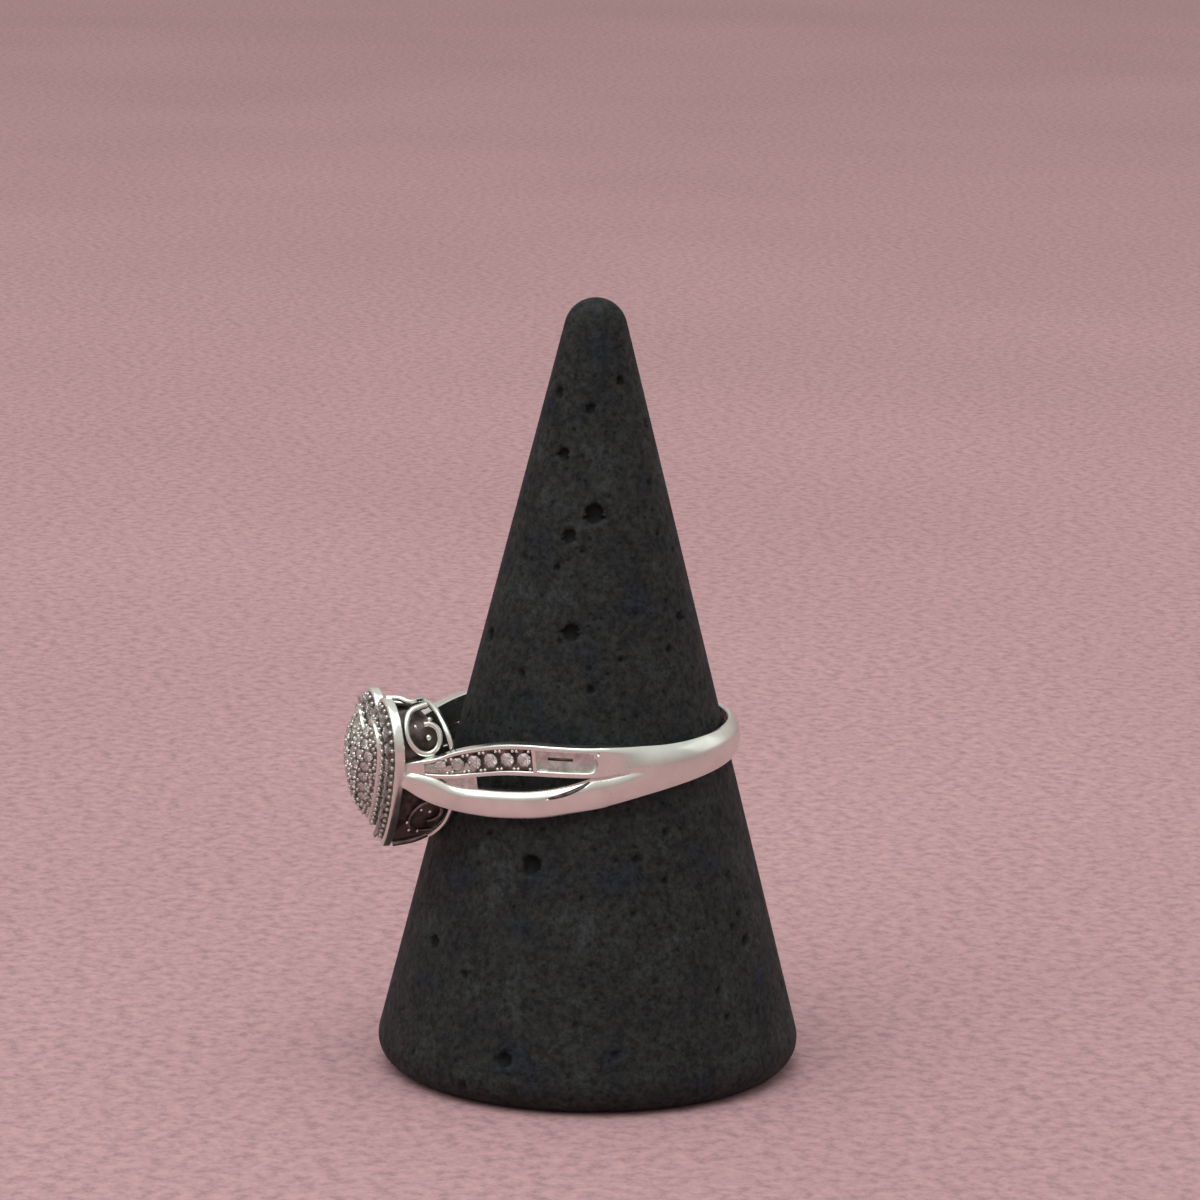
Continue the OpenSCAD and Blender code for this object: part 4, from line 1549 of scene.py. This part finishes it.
class RING_OT_stage(bpy.types.Operator):
    """Floor, lights, surroundings and camera"""

    bl_idname = "ring.stage"
    bl_label = "Stage"

    # The photograph's frame, in pixels, and where its camera stood
    frame_side = 1200
    target = Vector((0, 0, 17.02 * MM))
    target_pixel = (590.5, 787.5)
    pixels_per_mm = 16.5
    distance = 304 * MM
    azimuth = math.radians(73.5)
    elevation = math.radians(13)
    roll = math.radians(0.67)
    sensor = 36

    def execute(self, context):
        self.floor(context)
        self.lights(context)
        self.camera(context)
        return {"FINISHED"}

    def floor(self, context):
        """Flat round floor that runs out of the view"""
        deselect()
        bpy.ops.mesh.primitive_circle_add(vertices=64, radius=FLOOR_RADIUS, fill_type="NGON")
        floor = context.object
        floor.name = "floor"
        floor.data.materials.append(finish_of(pale_floor))

    def lights(self, context):
        """Soft lamps and the surroundings, pale above and warm below"""
        for name, place, size, power in LAMPS:
            bpy.ops.object.light_add(type="AREA", location=place)
            lamp = context.object
            lamp.name = name
            lamp.data.shape = "RECTANGLE"
            lamp.data.size, lamp.data.size_y = size
            lamp.data.energy = power
            aim = LAMP_AIM - Vector(place)
            lamp.rotation_euler = aim.to_track_quat("-Z", "Y").to_euler()
        world = bpy.data.worlds.new("surroundings")
        world.use_nodes = True
        nodes, links = world.node_tree.nodes, world.node_tree.links
        direction = nodes.new("ShaderNodeTexCoord").outputs["Generated"]
        height = nodes.new("ShaderNodeSeparateXYZ")
        links.new(direction, height.inputs["Vector"])
        ramp = nodes.new("ShaderNodeValToRGB")
        for element, (position, colour) in zip(ramp.color_ramp.elements, SURROUNDINGS):
            element.position = position
            element.color = colour
        links.new(height.outputs["Z"], ramp.inputs["Fac"])
        links.new(ramp.outputs["Color"], nodes["Background"].inputs["Color"])
        nodes["Background"].inputs["Strength"].default_value = SURROUNDINGS_STRENGTH
        context.scene.world = world
        context.scene.view_settings.view_transform = "Standard"

    def camera(self, context):
        """Camera that sees the target at its pixel, level apart from its roll"""
        back = Vector((
            math.sin(self.azimuth) * math.cos(self.elevation),
            -math.cos(self.azimuth) * math.cos(self.elevation),
            math.sin(self.elevation)))
        right = Vector((math.cos(self.azimuth), math.sin(self.azimuth), 0))
        up = back.cross(right)
        reach = self.distance / MM * self.pixels_per_mm
        dx = self.frame_side / 2 - self.target_pixel[0]
        dy = self.target_pixel[1] - self.frame_side / 2
        c, s = math.cos(self.roll), math.sin(self.roll)
        x, y = dx * c - dy * s, dx * s + dy * c
        axis = (right * x + up * y - back * reach).normalized()
        image_up = up * c - right * s
        side = axis.cross(image_up).normalized()
        upright = side.cross(axis)
        bpy.ops.object.camera_add()
        camera = context.object
        camera.name = "camera"
        turn = Matrix((side, upright, -axis)).transposed().to_4x4()
        camera.matrix_world = Matrix.Translation(self.target + back * self.distance) @ turn
        camera.data.sensor_width = self.sensor
        camera.data.lens = self.sensor * reach / self.frame_side
        camera.data.clip_start = 0.01
        camera.data.clip_end = 20
        context.scene.camera = camera


class RING_PT_panel(bpy.types.Panel):
    """Lists the ring's sizes and the steps that build it"""

    bl_idname = "RING_PT_panel"
    bl_label = "Promise ring"
    bl_space_type = "VIEW_3D"
    bl_region_type = "UI"
    bl_category = "Promise ring"

    def draw(self, context):
        scene = context.scene
        for group in (scene.ring_sizes, scene.heart_sizes, scene.cone_sizes, scene.ring_finishes):
            box = self.layout.box()
            for key in group.__annotations__:
                box.prop(group, key)
        for step in STEPS:
            self.layout.operator(step.bl_idname)


STEPS = (
    RING_OT_plain_strands,
    RING_OT_stone_strands,
    RING_OT_webs,
    RING_OT_back_band,
    RING_OT_heart_rim,
    RING_OT_stone_row,
    RING_OT_dome,
    RING_OT_channel_grains,
    RING_OT_gallery,
    RING_OT_stones,
    RING_OT_cone,
    RING_OT_stage,
)
GROUPS = {
    "ring_sizes": RingSizes,
    "heart_sizes": HeartSizes,
    "cone_sizes": ConeSizes,
    "ring_finishes": Finishes,
}
CLASSES = (*GROUPS.values(), *STEPS, RING_PT_panel)


def register():
    for cls in CLASSES:
        bpy.utils.register_class(cls)
    for name, group in GROUPS.items():
        setattr(bpy.types.Scene, name, bpy.props.PointerProperty(type=group))


def unregister():
    for name in GROUPS:
        delattr(bpy.types.Scene, name)
    for cls in reversed(CLASSES):
        bpy.utils.unregister_class(cls)


def main():
    """Builds the ring step by step"""
    register()
    for step in STEPS:
        getattr(bpy.ops.ring, step.bl_idname.split(".")[1])()


if __name__ == "__main__":
    main()
